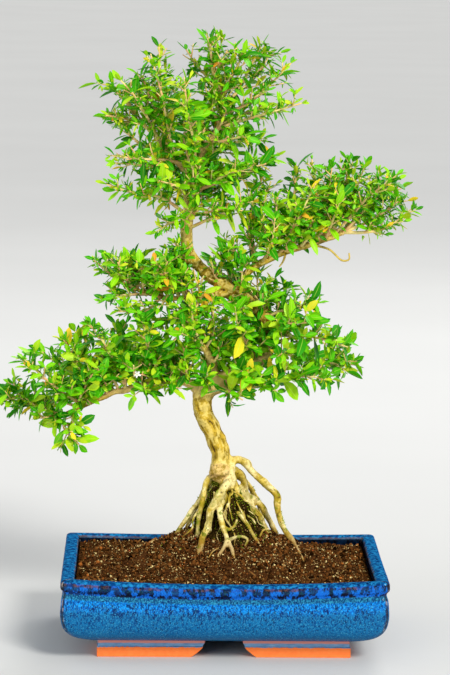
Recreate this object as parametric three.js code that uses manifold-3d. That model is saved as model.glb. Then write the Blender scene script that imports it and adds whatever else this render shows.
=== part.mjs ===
// A serissa bonsai in a glazed tray: thick S-shaped trunk on exposed roots, leafy shoots.
// Millimetres, +Z up, X along the tray's length, -Y towards the viewer.
import * as THREE from 'three';
import { mergeVertices } from 'three/addons/utils/BufferGeometryUtils.js';
import Module from 'manifold-3d';

const wasm = await Module();
wasm.setup();

// Driving dimensions
const TRAY_LENGTH = 250;
const TRAY_DEPTH = 190;
const RIM_HEIGHT = 65;
const RIM_WIDTH = 9.5;
const FRONT_SAG = 4;
const BACK_SAG = 1;
const SAG_FROM = 0.25;
const SAG_FULL = 0.42;
const SAG_FADE = 8;
const BELLY_BOTTOM = 12;
const INNER_FLOOR = 19;
const WALL_INSET = 10.8;
const DRAIN_RADIUS = 7;
const DRAIN_OFFSET = 55;
const DRAIN_SIDES = 12;
const FOOT_OUTER_X = 97;
const FOOT_OUTER_Y = 67;
const FOOT_INNER_X = 13;
const FOOT_INNER_Y = 16;
const FOOT_SCOOP = 12;
const FOOT_WALL = 12;
const FOOT_TOP = BELLY_BOTTOM + 1.2;
const FOOT_STEP = 8;
const STEP_INSET = 0.8;
const GAP = 0.3;

const SOIL_LEVEL = 60;
const MOUND_HEIGHT = 27;
const MOUND_HALF_LENGTH = 66;
const MOUND_HALF_DEPTH = 46;
const MOUND_CENTRE = new THREE.Vector2(3, 4);
const SOIL_FALL_X = 2.4;
const SOIL_RISE_Y = 2.2;

const TRUNK_SIDES = 10;
const TRUNK_RINGS = 26;
const TRUNK_GNARL = 0.04;
const THICK_ROOT_SIDES = 7;
const THIN_ROOT_SIDES = 5;
const ROOT_GNARL = 0.05;
const THICK_LIMB = 2.5;
const THICK_LIMB_SIDES = 6;
const THIN_LIMB_SIDES = 4;

const LEAF_LENGTH = 12.5;
const LEAF_WIDTH = 4.3;
const LEAF_KEEL = 0.9;
const LEAF_DROOP = 0.15;
const LEAF_FACE_INWARD = 0.2;
const TIP_LEAF_SHARE = 0.74;
const NEXT_LEAF_SHARE = 0.12;
const LEAF_SHARE_RANGE = 0.28;
const TIP_SPREAD = 0.55;
const SPREAD_STEP = 0.35;
const SPREAD_RANGE = 0.2;
const SPREAD_CHANGES = [0, 0.3, -0.3];
const FIRST_PAIR = 1.5;
const PAIR_STEP = 3;
const PAIR_PITCH = 18.6;
const TIP_PAIRS = 2;
const BARE_LENGTH = 18;

const TWIG_SIDES = 4;
const TWIG_RADIUS = 1.0;
const TWIG_TIP_RADIUS = 0.55;
const SEAT_STEP = 0.25;
const STUB_LENGTH = 2;
const SIDE_PITCH = 60;
const SIDE_LENGTH = 15;
const SIDE_SHORTEST = 0.75;
const SIDE_RANGE = 0.5;
const SIDE_RADIUS = 0.5;
const SIDE_FIRST = 0.4;
const SIDE_STEP = 0.3;
const SIDE_SHIFT = 0.1;
const SIDE_FORWARD = 0.7;
const SIDE_OUTWARD = 0.8;

const FLOWER_STALK = [[-67, -5, 199], [-69, -15, 206]];
const STALK_RADIUS = 0.6;
const MOUTH_RADIUS = 0.9;
const PETALS = 5;
const PETAL_LENGTH = 2.8;
const PETAL_WIDTH = 1.736;
const PETAL_SPREAD = 1.2;
const PETAL_SEAT = 0.7;

// Finishes
const look = (color, roughness) => new THREE.MeshStandardMaterial({ color, roughness, metalness: 0 });
const blueGlaze = look(0x1767b8, 0.2);
const darkSoil = look(0x3a261a, 0.95);
const tanBark = look(0xbfa052, 0.8);
const freshLeaf = look(0x4fae1c, 0.45);
const whitePetal = look(0xf4f3ee, 0.6);

// Solids. A closed three.js geometry becomes a solid once the vertices that its
// faces share are merged and the triangles that close on an axis are dropped.
function solidOf(geometry) {
  const bare = geometry.clone();
  bare.deleteAttribute('normal');
  bare.deleteAttribute('uv');
  const merged = mergeVertices(bare, 1e-4);
  const corners = merged.index.array;
  const kept = [];
  for (let i = 0; i < corners.length; i += 3) {
    const [a, b, c] = [corners[i], corners[i + 1], corners[i + 2]];
    if (a !== b && b !== c && c !== a) kept.push(a, b, c);
  }
  const vertProperties = new Float32Array(merged.attributes.position.array);
  const triVerts = new Uint32Array(kept);
  return new wasm.Manifold(new wasm.Mesh({ numProp: 3, vertProperties, triVerts }));
}

function geometryOf(solid) {
  const mesh = solid.getMesh();
  const geometry = new THREE.BufferGeometry();
  geometry.setAttribute('position', new THREE.BufferAttribute(new Float32Array(mesh.vertProperties), 3));
  geometry.setIndex(new THREE.BufferAttribute(new Uint32Array(mesh.triVerts), 1));
  return geometry;
}

const joined = (solids) => solids.reduce((whole, next) => whole.add(next));
const crosses = (a, b) => !a.intersect(b).isEmpty();

// A seeded draw between 0 and 1: the same numbers each time for the same shoot and turn.
function draw(shoot, turn) {
  const wave = Math.sin(shoot * 12.9898 + turn * 78.233) * 43758.5453;
  return wave - Math.floor(wave);
}

// Rounded-rectangle loft, used for the tray and its soil. A lathe of straight
// rings is turned into rings of a rounded rectangle: ring j lies inset from the
// tray's outline by inset[j], with its own corner radius.
const CORNER_STEPS = 3;
const LONG_STEPS = 3;
const SHORT_STEPS = 1;

function outlineStations() {
  const stations = [];
  const corners = [[1, 1], [-1, 1], [-1, -1], [1, -1]];
  corners.forEach(([sx, sy], quarter) => {
    for (let k = 0; k <= CORNER_STEPS; k++) {
      stations.push({ sx, sy, angle: (quarter + k / CORNER_STEPS) * (Math.PI / 2), along: null });
    }
    const long = quarter % 2 === 0;
    const steps = long ? LONG_STEPS : SHORT_STEPS;
    for (let k = 1; k <= steps; k++) {
      stations.push({ sx, sy, angle: (quarter + 1) * (Math.PI / 2), along: k / (steps + 1) });
    }
  });
  return stations;
}

const STATIONS = outlineStations();

// Where a station lies on the rounded rectangle with the given half sizes and corner.
function outlinePoint(station, halfX, halfY, corner) {
  const centreX = (halfX - corner) * station.sx;
  const centreY = (halfY - corner) * station.sy;
  const x = centreX + corner * Math.cos(station.angle);
  const y = centreY + corner * Math.sin(station.angle);
  if (station.along === null) return [x, y];
  const nearSide = Math.abs(Math.sin(station.angle)) > 0.5;
  const endX = nearSide ? -centreX : x;
  const endY = nearSide ? y : -centreY;
  return [x + (endX - x) * station.along, y + (endY - y) * station.along];
}

// rings: [inset, height, corner radius]; the first and last close on the middle.
// shift(x, y, z, ring) gives the height after any sag or mound.
function loft(rings, shift) {
  const profile = rings.map(([, height], j) => {
    const onAxis = j === 0 || j === rings.length - 1;
    return new THREE.Vector2(onAxis ? 0 : 1, height);
  });
  const lathe = new THREE.LatheGeometry(profile, STATIONS.length);
  const position = lathe.attributes.position;
  for (let k = 0; k < position.count; k++) {
    const station = STATIONS[Math.floor(k / rings.length) % STATIONS.length];
    const ring = k % rings.length;
    const [inset, height, corner] = rings[ring];
    const onAxis = ring === 0 || ring === rings.length - 1;
    const halfX = TRAY_LENGTH / 2 - inset;
    const halfY = TRAY_DEPTH / 2 - inset;
    const [x, y] = onAxis ? [0, 0] : outlinePoint(station, halfX, halfY, corner);
    position.setXYZ(k, x, y, shift(x, y, height, ring));
  }
  return solidOf(lathe);
}

// The long sides of the hand-made tray sag between their corners, the front most.
function sag(x, y, z) {
  const middle = Math.max(0, 1 - (x / (TRAY_LENGTH / 2)) ** 2);
  const depth = THREE.MathUtils.lerp(FRONT_SAG, BACK_SAG, (y / TRAY_DEPTH) + 0.5);
  const side = THREE.MathUtils.smoothstep(Math.abs(y), TRAY_DEPTH * SAG_FROM, TRAY_DEPTH * SAG_FULL);
  const high = THREE.MathUtils.smoothstep(z, BELLY_BOTTOM + SAG_FADE, RIM_HEIGHT - SAG_FADE);
  return z - depth * middle * side * high;
}

// Tray: rounded belly, drawn-in neck, thick rolled rim, open inside, four feet.
function trayBody() {
  const rings = [
    [30, BELLY_BOTTOM, 12],
    [30, BELLY_BOTTOM, 12],
    [17, 13.6, 11],
    [8, 18, 9],
    [2.5, 25.5, 7],
    [0.3, 35, 6],
    [0.5, 44, 5.5],
    [1.2, 50, 5],
    [2.6, 54, 4.5],
    [1.8, 56, 4.5],
    [0.2, 57.5, 4.5],
    [0, 62, 4.5],
    [2.2, RIM_HEIGHT, 4],
    [RIM_WIDTH, RIM_HEIGHT, 2],
    [WALL_INSET, RIM_HEIGHT - 2, 2],
    [WALL_INSET, 36, 4],
    [16, 25, 6],
    [30, INNER_FLOOR, 8],
    [30, INNER_FLOOR, 8],
  ];
  return loft(rings, sag);
}

// One foot bar from its side: straight at its outer end, scooped at its inner end.
function footBar(outer, inner, bottom, top, inset) {
  const scoop = (z) => inner + FOOT_SCOOP * (1 - z / FOOT_TOP) ** 2 + inset;
  const shape = new THREE.Shape();
  shape.moveTo(scoop(bottom), bottom);
  shape.lineTo(outer - inset, bottom);
  shape.lineTo(outer - inset, top);
  for (let k = 0; k <= 2; k++) {
    const z = top + (bottom - top) * (k / 3);
    shape.lineTo(scoop(z), z);
  }
  const depth = FOOT_WALL - 2 * inset;
  const bar = new THREE.ExtrudeGeometry(shape, { depth, bevelEnabled: false });
  bar.translate(0, 0, -depth / 2);
  bar.rotateX(Math.PI / 2);
  return bar;
}

// One corner foot is two bars that meet, each with a stepped-in band under the belly.
function cornerFoot(sx, sy) {
  const bars = [];
  for (const [bottom, top, inset] of [[0, FOOT_STEP, 0], [FOOT_STEP - 0.5, FOOT_TOP, STEP_INSET]]) {
    const long = footBar(FOOT_OUTER_X, FOOT_INNER_X, bottom, top, inset);
    long.rotateZ(sx > 0 ? 0 : Math.PI);
    long.translate(0, sy * (FOOT_OUTER_Y - FOOT_WALL / 2), 0);
    const short = footBar(FOOT_OUTER_Y, FOOT_INNER_Y, bottom, top, inset);
    short.rotateZ(sy * Math.PI / 2);
    short.translate(sx * (FOOT_OUTER_X - FOOT_WALL / 2), 0, 0);
    bars.push(solidOf(long), solidOf(short));
  }
  return joined(bars);
}

function drainHole(x) {
  const drill = new THREE.CylinderGeometry(DRAIN_RADIUS, DRAIN_RADIUS, INNER_FLOOR, DRAIN_SIDES);
  drill.rotateX(Math.PI / 2);
  drill.translate(x, 0, INNER_FLOOR / 2 + FOOT_STEP);
  return solidOf(drill);
}

function tray() {
  const feet = [[1, 1], [-1, 1], [-1, -1], [1, -1]].map(([sx, sy]) => cornerFoot(sx, sy));
  const standing = joined([trayBody(), ...feet]);
  return standing.subtract(drainHole(-DRAIN_OFFSET)).subtract(drainHole(DRAIN_OFFSET));
}

// Soil: fills the tray to a little below its rim and heaps up round the roots.
function soilHeight(x, y) {
  const across = (x - MOUND_CENTRE.x) / MOUND_HALF_LENGTH;
  const deep = (y - MOUND_CENTRE.y) / MOUND_HALF_DEPTH;
  const heap = MOUND_HEIGHT * Math.exp(-(Math.hypot(across, deep) ** 3));
  return SOIL_LEVEL - (x / TRAY_LENGTH) * SOIL_FALL_X + (y / TRAY_DEPTH) * SOIL_RISE_Y + heap;
}

function soil() {
  const rings = [
    [32, INNER_FLOOR + GAP, 8],
    [32, INNER_FLOOR + GAP, 8],
    [16 + 2 * GAP, 25 + 2 * GAP, 6],
    [WALL_INSET + 2 * GAP, 36, 4],
    [WALL_INSET + 2 * GAP, SOIL_LEVEL, 2],
    [30, SOIL_LEVEL, 9],
    [46, SOIL_LEVEL, 16],
    [62, SOIL_LEVEL, 18],
    [80, SOIL_LEVEL, 12],
    [80, SOIL_LEVEL, 12],
  ];
  const top = 4;
  return loft(rings, (x, y, z, ring) => (ring < top ? z : soilHeight(x, y)));
}

// Limbs: a round tapered body carried along a smooth curve, used for the trunk,
// the roots, the branches and the twigs. route holds points [x, y, z, radius].
function limb(route, sides, rings, { gnarl = 0, grow = 0 } = {}) {
  const places = route.map(([x, y, z]) => new THREE.Vector3(x, y, z));
  const curve = new THREE.CatmullRomCurve3(places, false, 'centripetal');
  const frames = curve.computeFrenetFrames(rings, false);
  const profile = [new THREE.Vector2(0, 0)];
  for (let ring = 0; ring <= rings; ring++) profile.push(new THREE.Vector2(1, ring / rings));
  profile.push(new THREE.Vector2(0, 1));
  const lathe = new THREE.LatheGeometry(profile, sides);
  const position = lathe.attributes.position;
  const point = new THREE.Vector3();
  for (let k = 0; k < position.count; k++) {
    const along = position.getY(k);
    const ring = Math.round(along * rings);
    const share = curve.getUtoTmapping(along) * (route.length - 1);
    const before = Math.min(Math.floor(share), route.length - 2);
    const plain = THREE.MathUtils.lerp(route[before][3], route[before + 1][3], share - before);
    const turn = Math.atan2(position.getZ(k), position.getX(k));
    const ridge = 1 + gnarl * Math.sin(3 * turn + ring * 1.3) + 0.6 * gnarl * Math.sin(2 * turn - ring * 2.1);
    const radius = plain * ridge + grow;
    const end = ring === 0 ? -grow : ring === rings ? grow : 0;
    point.copy(curve.getPointAt(along));
    point.addScaledVector(frames.tangents[ring], end);
    point.addScaledVector(frames.normals[ring], position.getX(k) * radius);
    point.addScaledVector(frames.binormals[ring], -position.getZ(k) * radius);
    position.setXYZ(k, point.x, point.y, point.z);
  }
  return solidOf(lathe);
}

// Trunk: a thick S from the root crown to the crown of the tree.
const TRUNK = [
  [-2, 2, 118, 7.5], [-3, 0, 134, 9], [-3, 0, 148, 7.6], [-8, 0, 162, 7.3], [-16, 0, 179, 7.2],
  [-18, 0, 189, 7.4], [-14, 1, 197, 8], [-2, 4, 203, 7.4], [12, 8, 209, 7], [25, 10, 218, 6.6],
  [34, 10, 231, 6.2], [33, 8, 244, 6], [28, 5, 256, 5.9], [17, 2, 266, 5.6], [5, 1, 273, 5.3],
  [-8, 0, 282, 5], [-18, 0, 290, 5], [-25, 0, 297, 5.2], [-29, 0, 306, 5], [-30, 0, 317, 4.7],
  [-30, 0, 329, 4.4], [-27, 0, 343, 3.9], [-26, 0, 356, 3.4], [-24, 0, 371, 2.8],
];

// Roots: they leave the crown of the roots, stand clear of the heap and end in the soil.
const ROOTS = [
  [[2, 0, 140, 4], [13, 1, 141, 3.4], [21, 2, 133, 3.1], [30, 3, 126, 3], [40, 4, 114, 3],
    [42, 4, 103, 2.9], [49, 2, 87, 2.8], [56, -1, 76, 2.6], [64, -4, 62, 1.6]],
  [[2, 2, 136, 4], [14, 8, 127, 3.2], [18, 12, 114, 2.6], [27, 16, 105, 2.6], [35, 20, 94, 2.5],
    [42, 24, 78, 2.2], [46, 26, 62, 1.6]],
  [[4, 3, 128, 3], [18, 11, 108, 2.6], [27, 13, 95, 2.7], [35, 15, 81, 2.3], [40, 16, 66, 1.6]],
  [[2, 4, 130, 3], [17, 18, 122, 2.4], [25, 28, 109, 2.2], [31, 37, 90, 2], [36, 44, 64, 1.4]],
  [[6, -2, 138, 3.4], [4, -9, 127, 3.2], [-3, -14, 118, 3.3], [-9, -19, 108, 3.1], [-12, -23, 95, 2.9],
    [-17, -28, 82, 2.6], [-22, -33, 66, 1.8]],
  [[-6, 0, 132, 3], [-13, -4, 126, 2.3], [-16, -7, 114, 2.1], [-19, -10, 99, 2.1], [-20, -13, 85, 1.9],
    [-21, -16, 66, 1.4]],
  [[-14, -5, 121, 2], [-18, -2, 110, 2], [-24, 0, 102, 2], [-32, 2, 89, 1.9], [-38, 4, 79, 1.7],
    [-46, 5, 64, 1.2]],
  [[-1, -4, 128, 3], [0, -11, 114, 2.4], [-3, -20, 103, 2.2], [0, -27, 93, 2.3], [2, -32, 84, 2],
    [-6, -37, 70, 1.4]],
  [[1, -29, 89, 1.9], [5, -34, 80, 1.7], [9, -39, 66, 1.1]],
  [[3, 0, 131, 2.4], [11, -3, 118, 2.1], [6, -5, 108, 2]],
  [[2, -3, 114, 2], [10, -9, 103, 1.9], [18, -15, 93, 1.8], [27, -21, 79, 1.5], [31, -24, 66, 1]],
  [[-5, 3, 130, 3], [-13, 16, 117, 2.4], [-20, 27, 101, 2.1], [-27, 38, 82, 1.9], [-31, 44, 64, 1.4]],
  [[0, 4, 128, 3], [1, 20, 112, 2.5], [4, 34, 94, 2.2], [7, 46, 64, 1.6]],
];

// The big right root and the front root are the thick ones.
const THICK_ROOTS = [0, 4];

// Woody branches. The first point of each lies inside the limb that it leaves.
const BRANCHES = {
  crown_right: [[-24, 0, 366, 3], [-18, -2, 381, 2.6], [-7, -5, 401, 2.1], [-2, -6, 416, 1.7],
    [-6, -5, 430, 1.4], [-11, -4, 443, 1.2]],
  crown_left: [[-28, 0, 358, 2.8], [-35, 3, 370, 2.3], [-49, 8, 384, 1.9], [-65, 14, 403, 1.5],
    [-75, 16, 415, 1.2]],
  right_limb: [[17, 2, 266, 4.6], [12, 0, 277, 3.7], [15, -1, 286, 3.3], [22, -2, 293, 3],
    [37, -3, 301, 2.8], [61, -4, 310, 2.7], [81, -5, 317, 2.6], [91, -6, 321, 1.7]],
  right_hook: [[64, -4, 311, 1.1], [79, -12, 308, 0.8], [89, -16, 300, 0.8], [94, -17, 301, 0.7],
    [94, -17, 306, 0.7]],
  right_snag: [[46, -3, 304, 1], [44, -5, 298, 0.8], [41, -8, 294, 0.6]],
  low_left_limb: [[-14, 0, 192, 5], [-29, -2, 202, 3.6], [-38, -3, 204, 3.1], [-56, -4, 201, 2.8],
    [-77, -5, 197, 2.5], [-91, -6, 193, 2.3], [-107, -7, 185, 1.8], [-127, -9, 177, 1.3]],
  mid_left_limb: [[4, 1, 273, 3.6], [-18, -5, 270, 2.6], [-37, -8, 269, 2.2], [-55, -9, 271, 1.9],
    [-70, -9, 276, 1.6], [-84, -8, 283, 1.3]],
  twisted_spur: [[-8, 2, 201, 4.5], [-9, -4, 214, 3.4], [-14, -9, 226, 3], [-20, -14, 236, 2.2]],
};

// The wood is one grown piece. Grown by the gap, the same limbs cut the plain
// holes in the soil and the seats of the shoots.
function wood(grow) {
  const trunk = limb(TRUNK, TRUNK_SIDES, TRUNK_RINGS, { gnarl: TRUNK_GNARL, grow });
  const roots = ROOTS.map((route, k) => {
    const sides = THICK_ROOTS.includes(k) ? THICK_ROOT_SIDES : THIN_ROOT_SIDES;
    return limb(route, sides, route.length, { gnarl: ROOT_GNARL, grow });
  });
  const branches = Object.values(BRANCHES).map((route) => {
    const sides = route[0][3] > THICK_LIMB ? THICK_LIMB_SIDES : THIN_LIMB_SIDES;
    return limb(route, sides, route.length, { grow });
  });
  return joined([joined([trunk, ...roots]), ...branches]);
}

// A leaf: a thin elliptic blade, pointed at both ends, flat above with its midrib
// as a keel below, drooping to its tip. It is a coarse ball of three sides drawn out:
// its two rings, at 1/4 and 3/4 of its height, come to lie at 38 % and 70 % of the leaf,
// and the half width and the keel are measured on those rings.
function leafSolid(place, length, width, spare = 0) {
  const blade = new THREE.SphereGeometry(1, 3, 3);
  const position = blade.attributes.position;
  const point = new THREE.Vector3();
  for (let k = 0; k < position.count; k++) {
    const along = (1 + position.getY(k)) / 2;
    const share = along < 0.5 ? along * 1.52 : 1 - (1 - along) * 1.2;
    const across = -position.getZ(k) / 0.75 * (width / 2 + spare);
    const rise = (position.getX(k) - 0.25) / 0.75 * (LEAF_KEEL / 1.5 + spare);
    const droop = length * LEAF_DROOP * share * share;
    point.set(across, share * (length + spare), rise - droop).applyMatrix4(place);
    position.setXYZ(k, point.x, point.y, point.z);
  }
  return solidOf(blade);
}

const UP = new THREE.Vector3(0, 0, 1);

// The place of a leaf on a shoot: it leaves the shoot's side at a spread from its
// axis, and shows its upper face to the sky and to the shoot's tip.
function leafPlace(origin, axis, side, spread) {
  const along = axis.clone().multiplyScalar(Math.cos(spread)).addScaledVector(side, Math.sin(spread));
  const face = axis.clone().add(UP).addScaledVector(side, -LEAF_FACE_INWARD);
  const across = new THREE.Vector3().crossVectors(along, face).normalize();
  const upper = new THREE.Vector3().crossVectors(across, along);
  return new THREE.Matrix4().makeBasis(across, along, upper).setPosition(origin);
}

// Leafy shoots. Each route starts inside the limb that carries it and runs to the
// shoot's tip, and its leaves reach a leaf's length further.
const SHOOTS = {
  crown: [
    [[-11, -4, 441], [-13, -6, 454], [-14, -6, 468]],
    [[-4, -5, 419], [8, 8, 427], [21, 16, 438], [34, 22, 457]],
    [[-3, -5, 423], [-12, 10, 434], [-23, 20, 446], [-31, 24, 457]],
    [[-9, -5, 399], [8, -16, 406], [29, -26, 413], [54, -30, 421]],
    [[-5, -5, 410], [14, -12, 419], [32, -10, 434], [47, -4, 449]],
    [[-74, 16, 414], [-84, 18, 424], [-92, 20, 431]],
    [[-63, 14, 402], [-79, 4, 406], [-92, -6, 409]],
    [[-38, 4, 374], [-45, -10, 397], [-50, -20, 424], [-59, -22, 456]],
    [[-52, 9, 387], [-61, -8, 407], [-72, -18, 426], [-81, -22, 436]],
    [[-26, 0, 368], [-42, -10, 375], [-62, -20, 377], [-88, -26, 380]],
    [[-30, 0, 333], [-51, -10, 347], [-73, -14, 351], [-91, -18, 357]],
    [[-30, 0, 324], [-41, -10, 328], [-52, -16, 322]],
    [[-27, 0, 350], [-20, 20, 364], [-16, 38, 383], [-20, 50, 410]],
    [[-27, 0, 344], [-16, -6, 356], [2, -16, 366], [28, -20, 374]],
    [[-27, 0, 355], [-42, 24, 365], [-59, 42, 378], [-80, 48, 393]],
    [[-20, -2, 377], [-4, 20, 383], [15, 34, 388], [28, 42, 387]],
    [[-24, 0, 368], [-26, -22, 390], [-31, -40, 414], [-34, -46, 440]],
    [[-14, -3, 389], [-3, -24, 392], [12, -38, 397]],
    [[-30, 0, 338], [-36, -20, 355], [-52, -36, 362]],
    [[-15, -3, 387], [-27, 24, 398], [-38, 42, 418], [-44, 46, 435]],
  ],
  right: [
    [[90, -6, 320.6], [106, -8, 321], [123, -10, 325], [138, -12, 337]],
    [[72, -5, 314], [81, 2, 329], [85, 8, 347], [90, 10, 366]],
    [[81, -5, 317], [94, -16, 333], [107, -24, 349], [125, -28, 364]],
    [[85, -5, 318], [98, 14, 327], [115, 26, 338], [134, 32, 350]],
    [[60, -4, 310], [57, 14, 320], [53, 26, 336], [55, 32, 363]],
    [[46, -3, 304], [49, -16, 319], [55, -28, 335], [65, -34, 357]],
    [[22, -2, 293], [19, 4, 308], [25, 8, 328], [33, 10, 354]],
    [[77, -5, 315], [88, -8, 335], [99, -4, 353], [105, 0, 369]],
  ],
  low_right: [
    [[30, 6, 252], [44, 0, 259], [57, -4, 263], [70, -6, 266]],
    [[33, 9, 240], [50, -6, 240], [69, -14, 240], [95, -18, 233]],
    [[33, 10, 230], [51, 24, 221], [76, 34, 214], [103, 40, 211]],
    [[1, 4, 203], [13, -8, 199], [32, -14, 203], [58, -18, 210], [84, -20, 208]],
    [[22, 4, 261], [39, 12, 267], [50, 16, 276]],
    [[33, 8, 246], [46, -18, 251], [66, -30, 254]],
    [[12, 8, 208], [11, 28, 218], [3, 44, 230], [-1, 50, 243]],
    [[20, 9, 214], [16, -14, 234], [9, -30, 251], [6, -36, 267]],
    [[-6, 3, 201], [6, -14, 196], [14, -24, 192]],
    [[33, 9, 236], [29, 30, 246], [22, 46, 260]],
  ],
  low_left: [
    [[-126, -9, 177.2], [-140, -6, 181], [-154, -3, 189], [-165, -1, 199]],
    [[-112, -8, 183], [-131, 6, 186], [-145, 14, 182], [-158, 16, 181]],
    [[-123, -9, 178.4], [-124, -14, 168], [-115, -15, 158]],
    [[-91, -6, 193], [-98, 6, 206], [-108, 12, 221], [-115, 14, 236]],
    [[-77, -5, 197], [-82, -16, 214], [-92, -26, 234], [-102, -30, 248]],
    [[-104, -7, 186], [-118, -20, 192], [-133, -32, 205], [-151, -38, 222]],
    [[-98, -6, 190], [-111, 16, 198], [-127, 30, 209], [-140, 36, 218]],
    [[-56, -4, 201], [-58, -18, 220], [-61, -28, 237], [-63, -32, 252]],
    [[-66, -4, 199], [-70, 18, 207], [-80, 30, 223], [-84, 36, 238]],
    [[-41, -3, 204], [-38, 18, 209], [-41, 34, 223]],
  ],
  mid_left: [
    [[-83, -8, 282.5], [-91, -9, 289], [-98, -10, 295]],
    [[-35, -8, 269], [-43, -20, 283], [-53, -30, 298]],
    [[-18, -5, 270], [-28, -22, 255], [-38, -36, 242]],
    [[-55, -9, 271], [-62, 6, 281], [-74, 14, 293]],
    [[-26, -7, 269.5], [-34, 16, 279], [-40, 30, 299]],
    [[-50, -9, 270], [-61, -20, 261], [-80, -28, 261]],
    [[-12, -3, 271], [-32, 18, 255], [-50, 32, 242], [-60, 36, 238]],
    [[-18, -13, 233], [-25, -24, 249], [-26, -34, 266]],
  ],
};

// Everything placed so far. A leaf or side shoot that would come nearer than the
// gap to another piece is turned round its shoot, and left out if it still would.
const placed = [];
const boxOf = (solid) => {
  const { min, max } = solid.boundingBox();
  return new THREE.Box3(new THREE.Vector3(...min), new THREE.Vector3(...max));
};
const isFree = (solid, box = boxOf(solid)) =>
  placed.every((piece) => !piece.box.intersectsBox(box) || !crosses(piece.solid, solid));
const place = (name, solid, finish) => placed.push({ name, solid, finish, box: boxOf(solid) });

// Adds a leaf where there is room for it, at the first spread that is free.
function addLeaf(leaves, origin, axis, side, spread, length) {
  const width = length * LEAF_WIDTH / LEAF_LENGTH;
  for (const change of SPREAD_CHANGES) {
    const matrix = leafPlace(origin, axis, side, spread + change);
    const leaf = leafSolid(matrix, length, width);
    const open = leaves.every((other) => !crosses(other, leaf));
    if (open && isFree(leafSolid(matrix, length, width, GAP))) {
      leaves.push(leaf);
      return;
    }
  }
}

// The straight stretches of a faceted twig: where a share of its length falls, which
// way it runs there, and the unit direction out through one of its flats.
function twigLine(curve, rings) {
  const frames = curve.computeFrenetFrames(rings, false);
  const knots = Array.from({ length: rings + 1 }, (_, ring) => curve.getPointAt(ring / rings));
  const lower = (along) => Math.min(Math.floor(along * rings), rings - 1);
  return {
    length: curve.getLength(),
    at: (along) => knots[lower(along)].clone().lerp(knots[lower(along) + 1], along * rings - lower(along)),
    axis: (along) => knots[lower(along) + 1].clone().sub(knots[lower(along)]).normalize(),
    side: (along, flat, sides) => {
      const turn = (flat + 0.5) * 2 * Math.PI / sides;
      const out = frames.normals[lower(along)].clone().multiplyScalar(Math.sin(turn));
      return out.addScaledVector(frames.binormals[lower(along)], -Math.cos(turn));
    },
  };
}

// Opposite pairs of leaves stand crosswise on the flats of a shoot: two pairs close
// to its tip, and more at an even pitch down to where it leaves the wood.
function addPairs(leaves, shoot, turn, line, pairs) {
  for (let pair = 0; pair < pairs; pair++) {
    const back = FIRST_PAIR + (pair < TIP_PAIRS ? pair * PAIR_STEP : PAIR_STEP + (pair - 1) * PAIR_PITCH);
    const along = 1 - back / line.length;
    for (const half of [0, 1]) {
      const chance = draw(shoot, turn + pair * 2 + half);
      const side = line.side(along, pair + half * 2, TWIG_SIDES);
      const share = TIP_LEAF_SHARE + NEXT_LEAF_SHARE * Math.min(pair, 1) + LEAF_SHARE_RANGE * chance;
      const spread = TIP_SPREAD + SPREAD_STEP * Math.min(pair, 2) + SPREAD_RANGE * chance;
      addLeaf(leaves, line.at(along), line.axis(along), side, spread, LEAF_LENGTH * share);
    }
  }
}

// Cuts the start of a shoot's route back to where its twig stands clear of the wood.
function seatedRoute(route, seatCut) {
  const curve = new THREE.CatmullRomCurve3(route.map((p) => new THREE.Vector3(...p)), false, 'centripetal');
  const length = curve.getLength();
  const clear = (start) => {
    const stub = [start, start + STUB_LENGTH].map((s) => [...curve.getPointAt(s / length), TWIG_RADIUS]);
    return !crosses(limb(stub, TWIG_SIDES, 1), seatCut);
  };
  let start = 0;
  while (start + STUB_LENGTH < length / 2 && !clear(start)) start += SEAT_STEP;
  return [[...curve.getPointAt(start / length)], ...route.slice(1)];
}

// A shoot: its twig, a side shoot or two where it is long, and its pairs of leaves.
function shootSolid(shoot, route, seatCut) {
  const seated = seatedRoute(route, seatCut);
  const curve = new THREE.CatmullRomCurve3(seated.map((p) => new THREE.Vector3(...p)), false, 'centripetal');
  const rings = seated.length - 1;
  const line = twigLine(curve, rings);
  const taper = (k) => THREE.MathUtils.lerp(TWIG_RADIUS, TWIG_TIP_RADIUS, k / rings);
  const parts = [limb(seated.map((p, k) => [...p, taper(k)]), TWIG_SIDES, rings)];
  const leaves = [];
  const lowerPairs = Math.floor(Math.max(0, line.length - BARE_LENGTH) / PAIR_PITCH);
  addPairs(leaves, shoot, 1, line, TIP_PAIRS + lowerPairs);
  for (let k = 0; k < Math.floor(line.length / SIDE_PITCH); k++) {
    const along = SIDE_FIRST + SIDE_STEP * k + SIDE_SHIFT * draw(shoot, 30 + k);
    const from = line.at(along);
    const out = line.side(along, shoot + k * 2, TWIG_SIDES);
    const direction = line.axis(along).multiplyScalar(SIDE_FORWARD).addScaledVector(out, SIDE_OUTWARD);
    const reach = SIDE_LENGTH * (SIDE_SHORTEST + SIDE_RANGE * draw(shoot, 50 + k));
    const tip = from.clone().addScaledVector(direction.normalize(), reach);
    const side = [[...from, SIDE_RADIUS], [...tip, TWIG_TIP_RADIUS]];
    if (!isFree(limb(side, TWIG_SIDES, 1, { grow: GAP }))) continue;
    parts.push(limb(side, TWIG_SIDES, 1));
    addPairs(leaves, shoot, 60 + 10 * k, twigLine(new THREE.LineCurve3(from, tip), 1), TIP_PAIRS);
  }
  return joined([...parts, ...leaves]);
}

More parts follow.
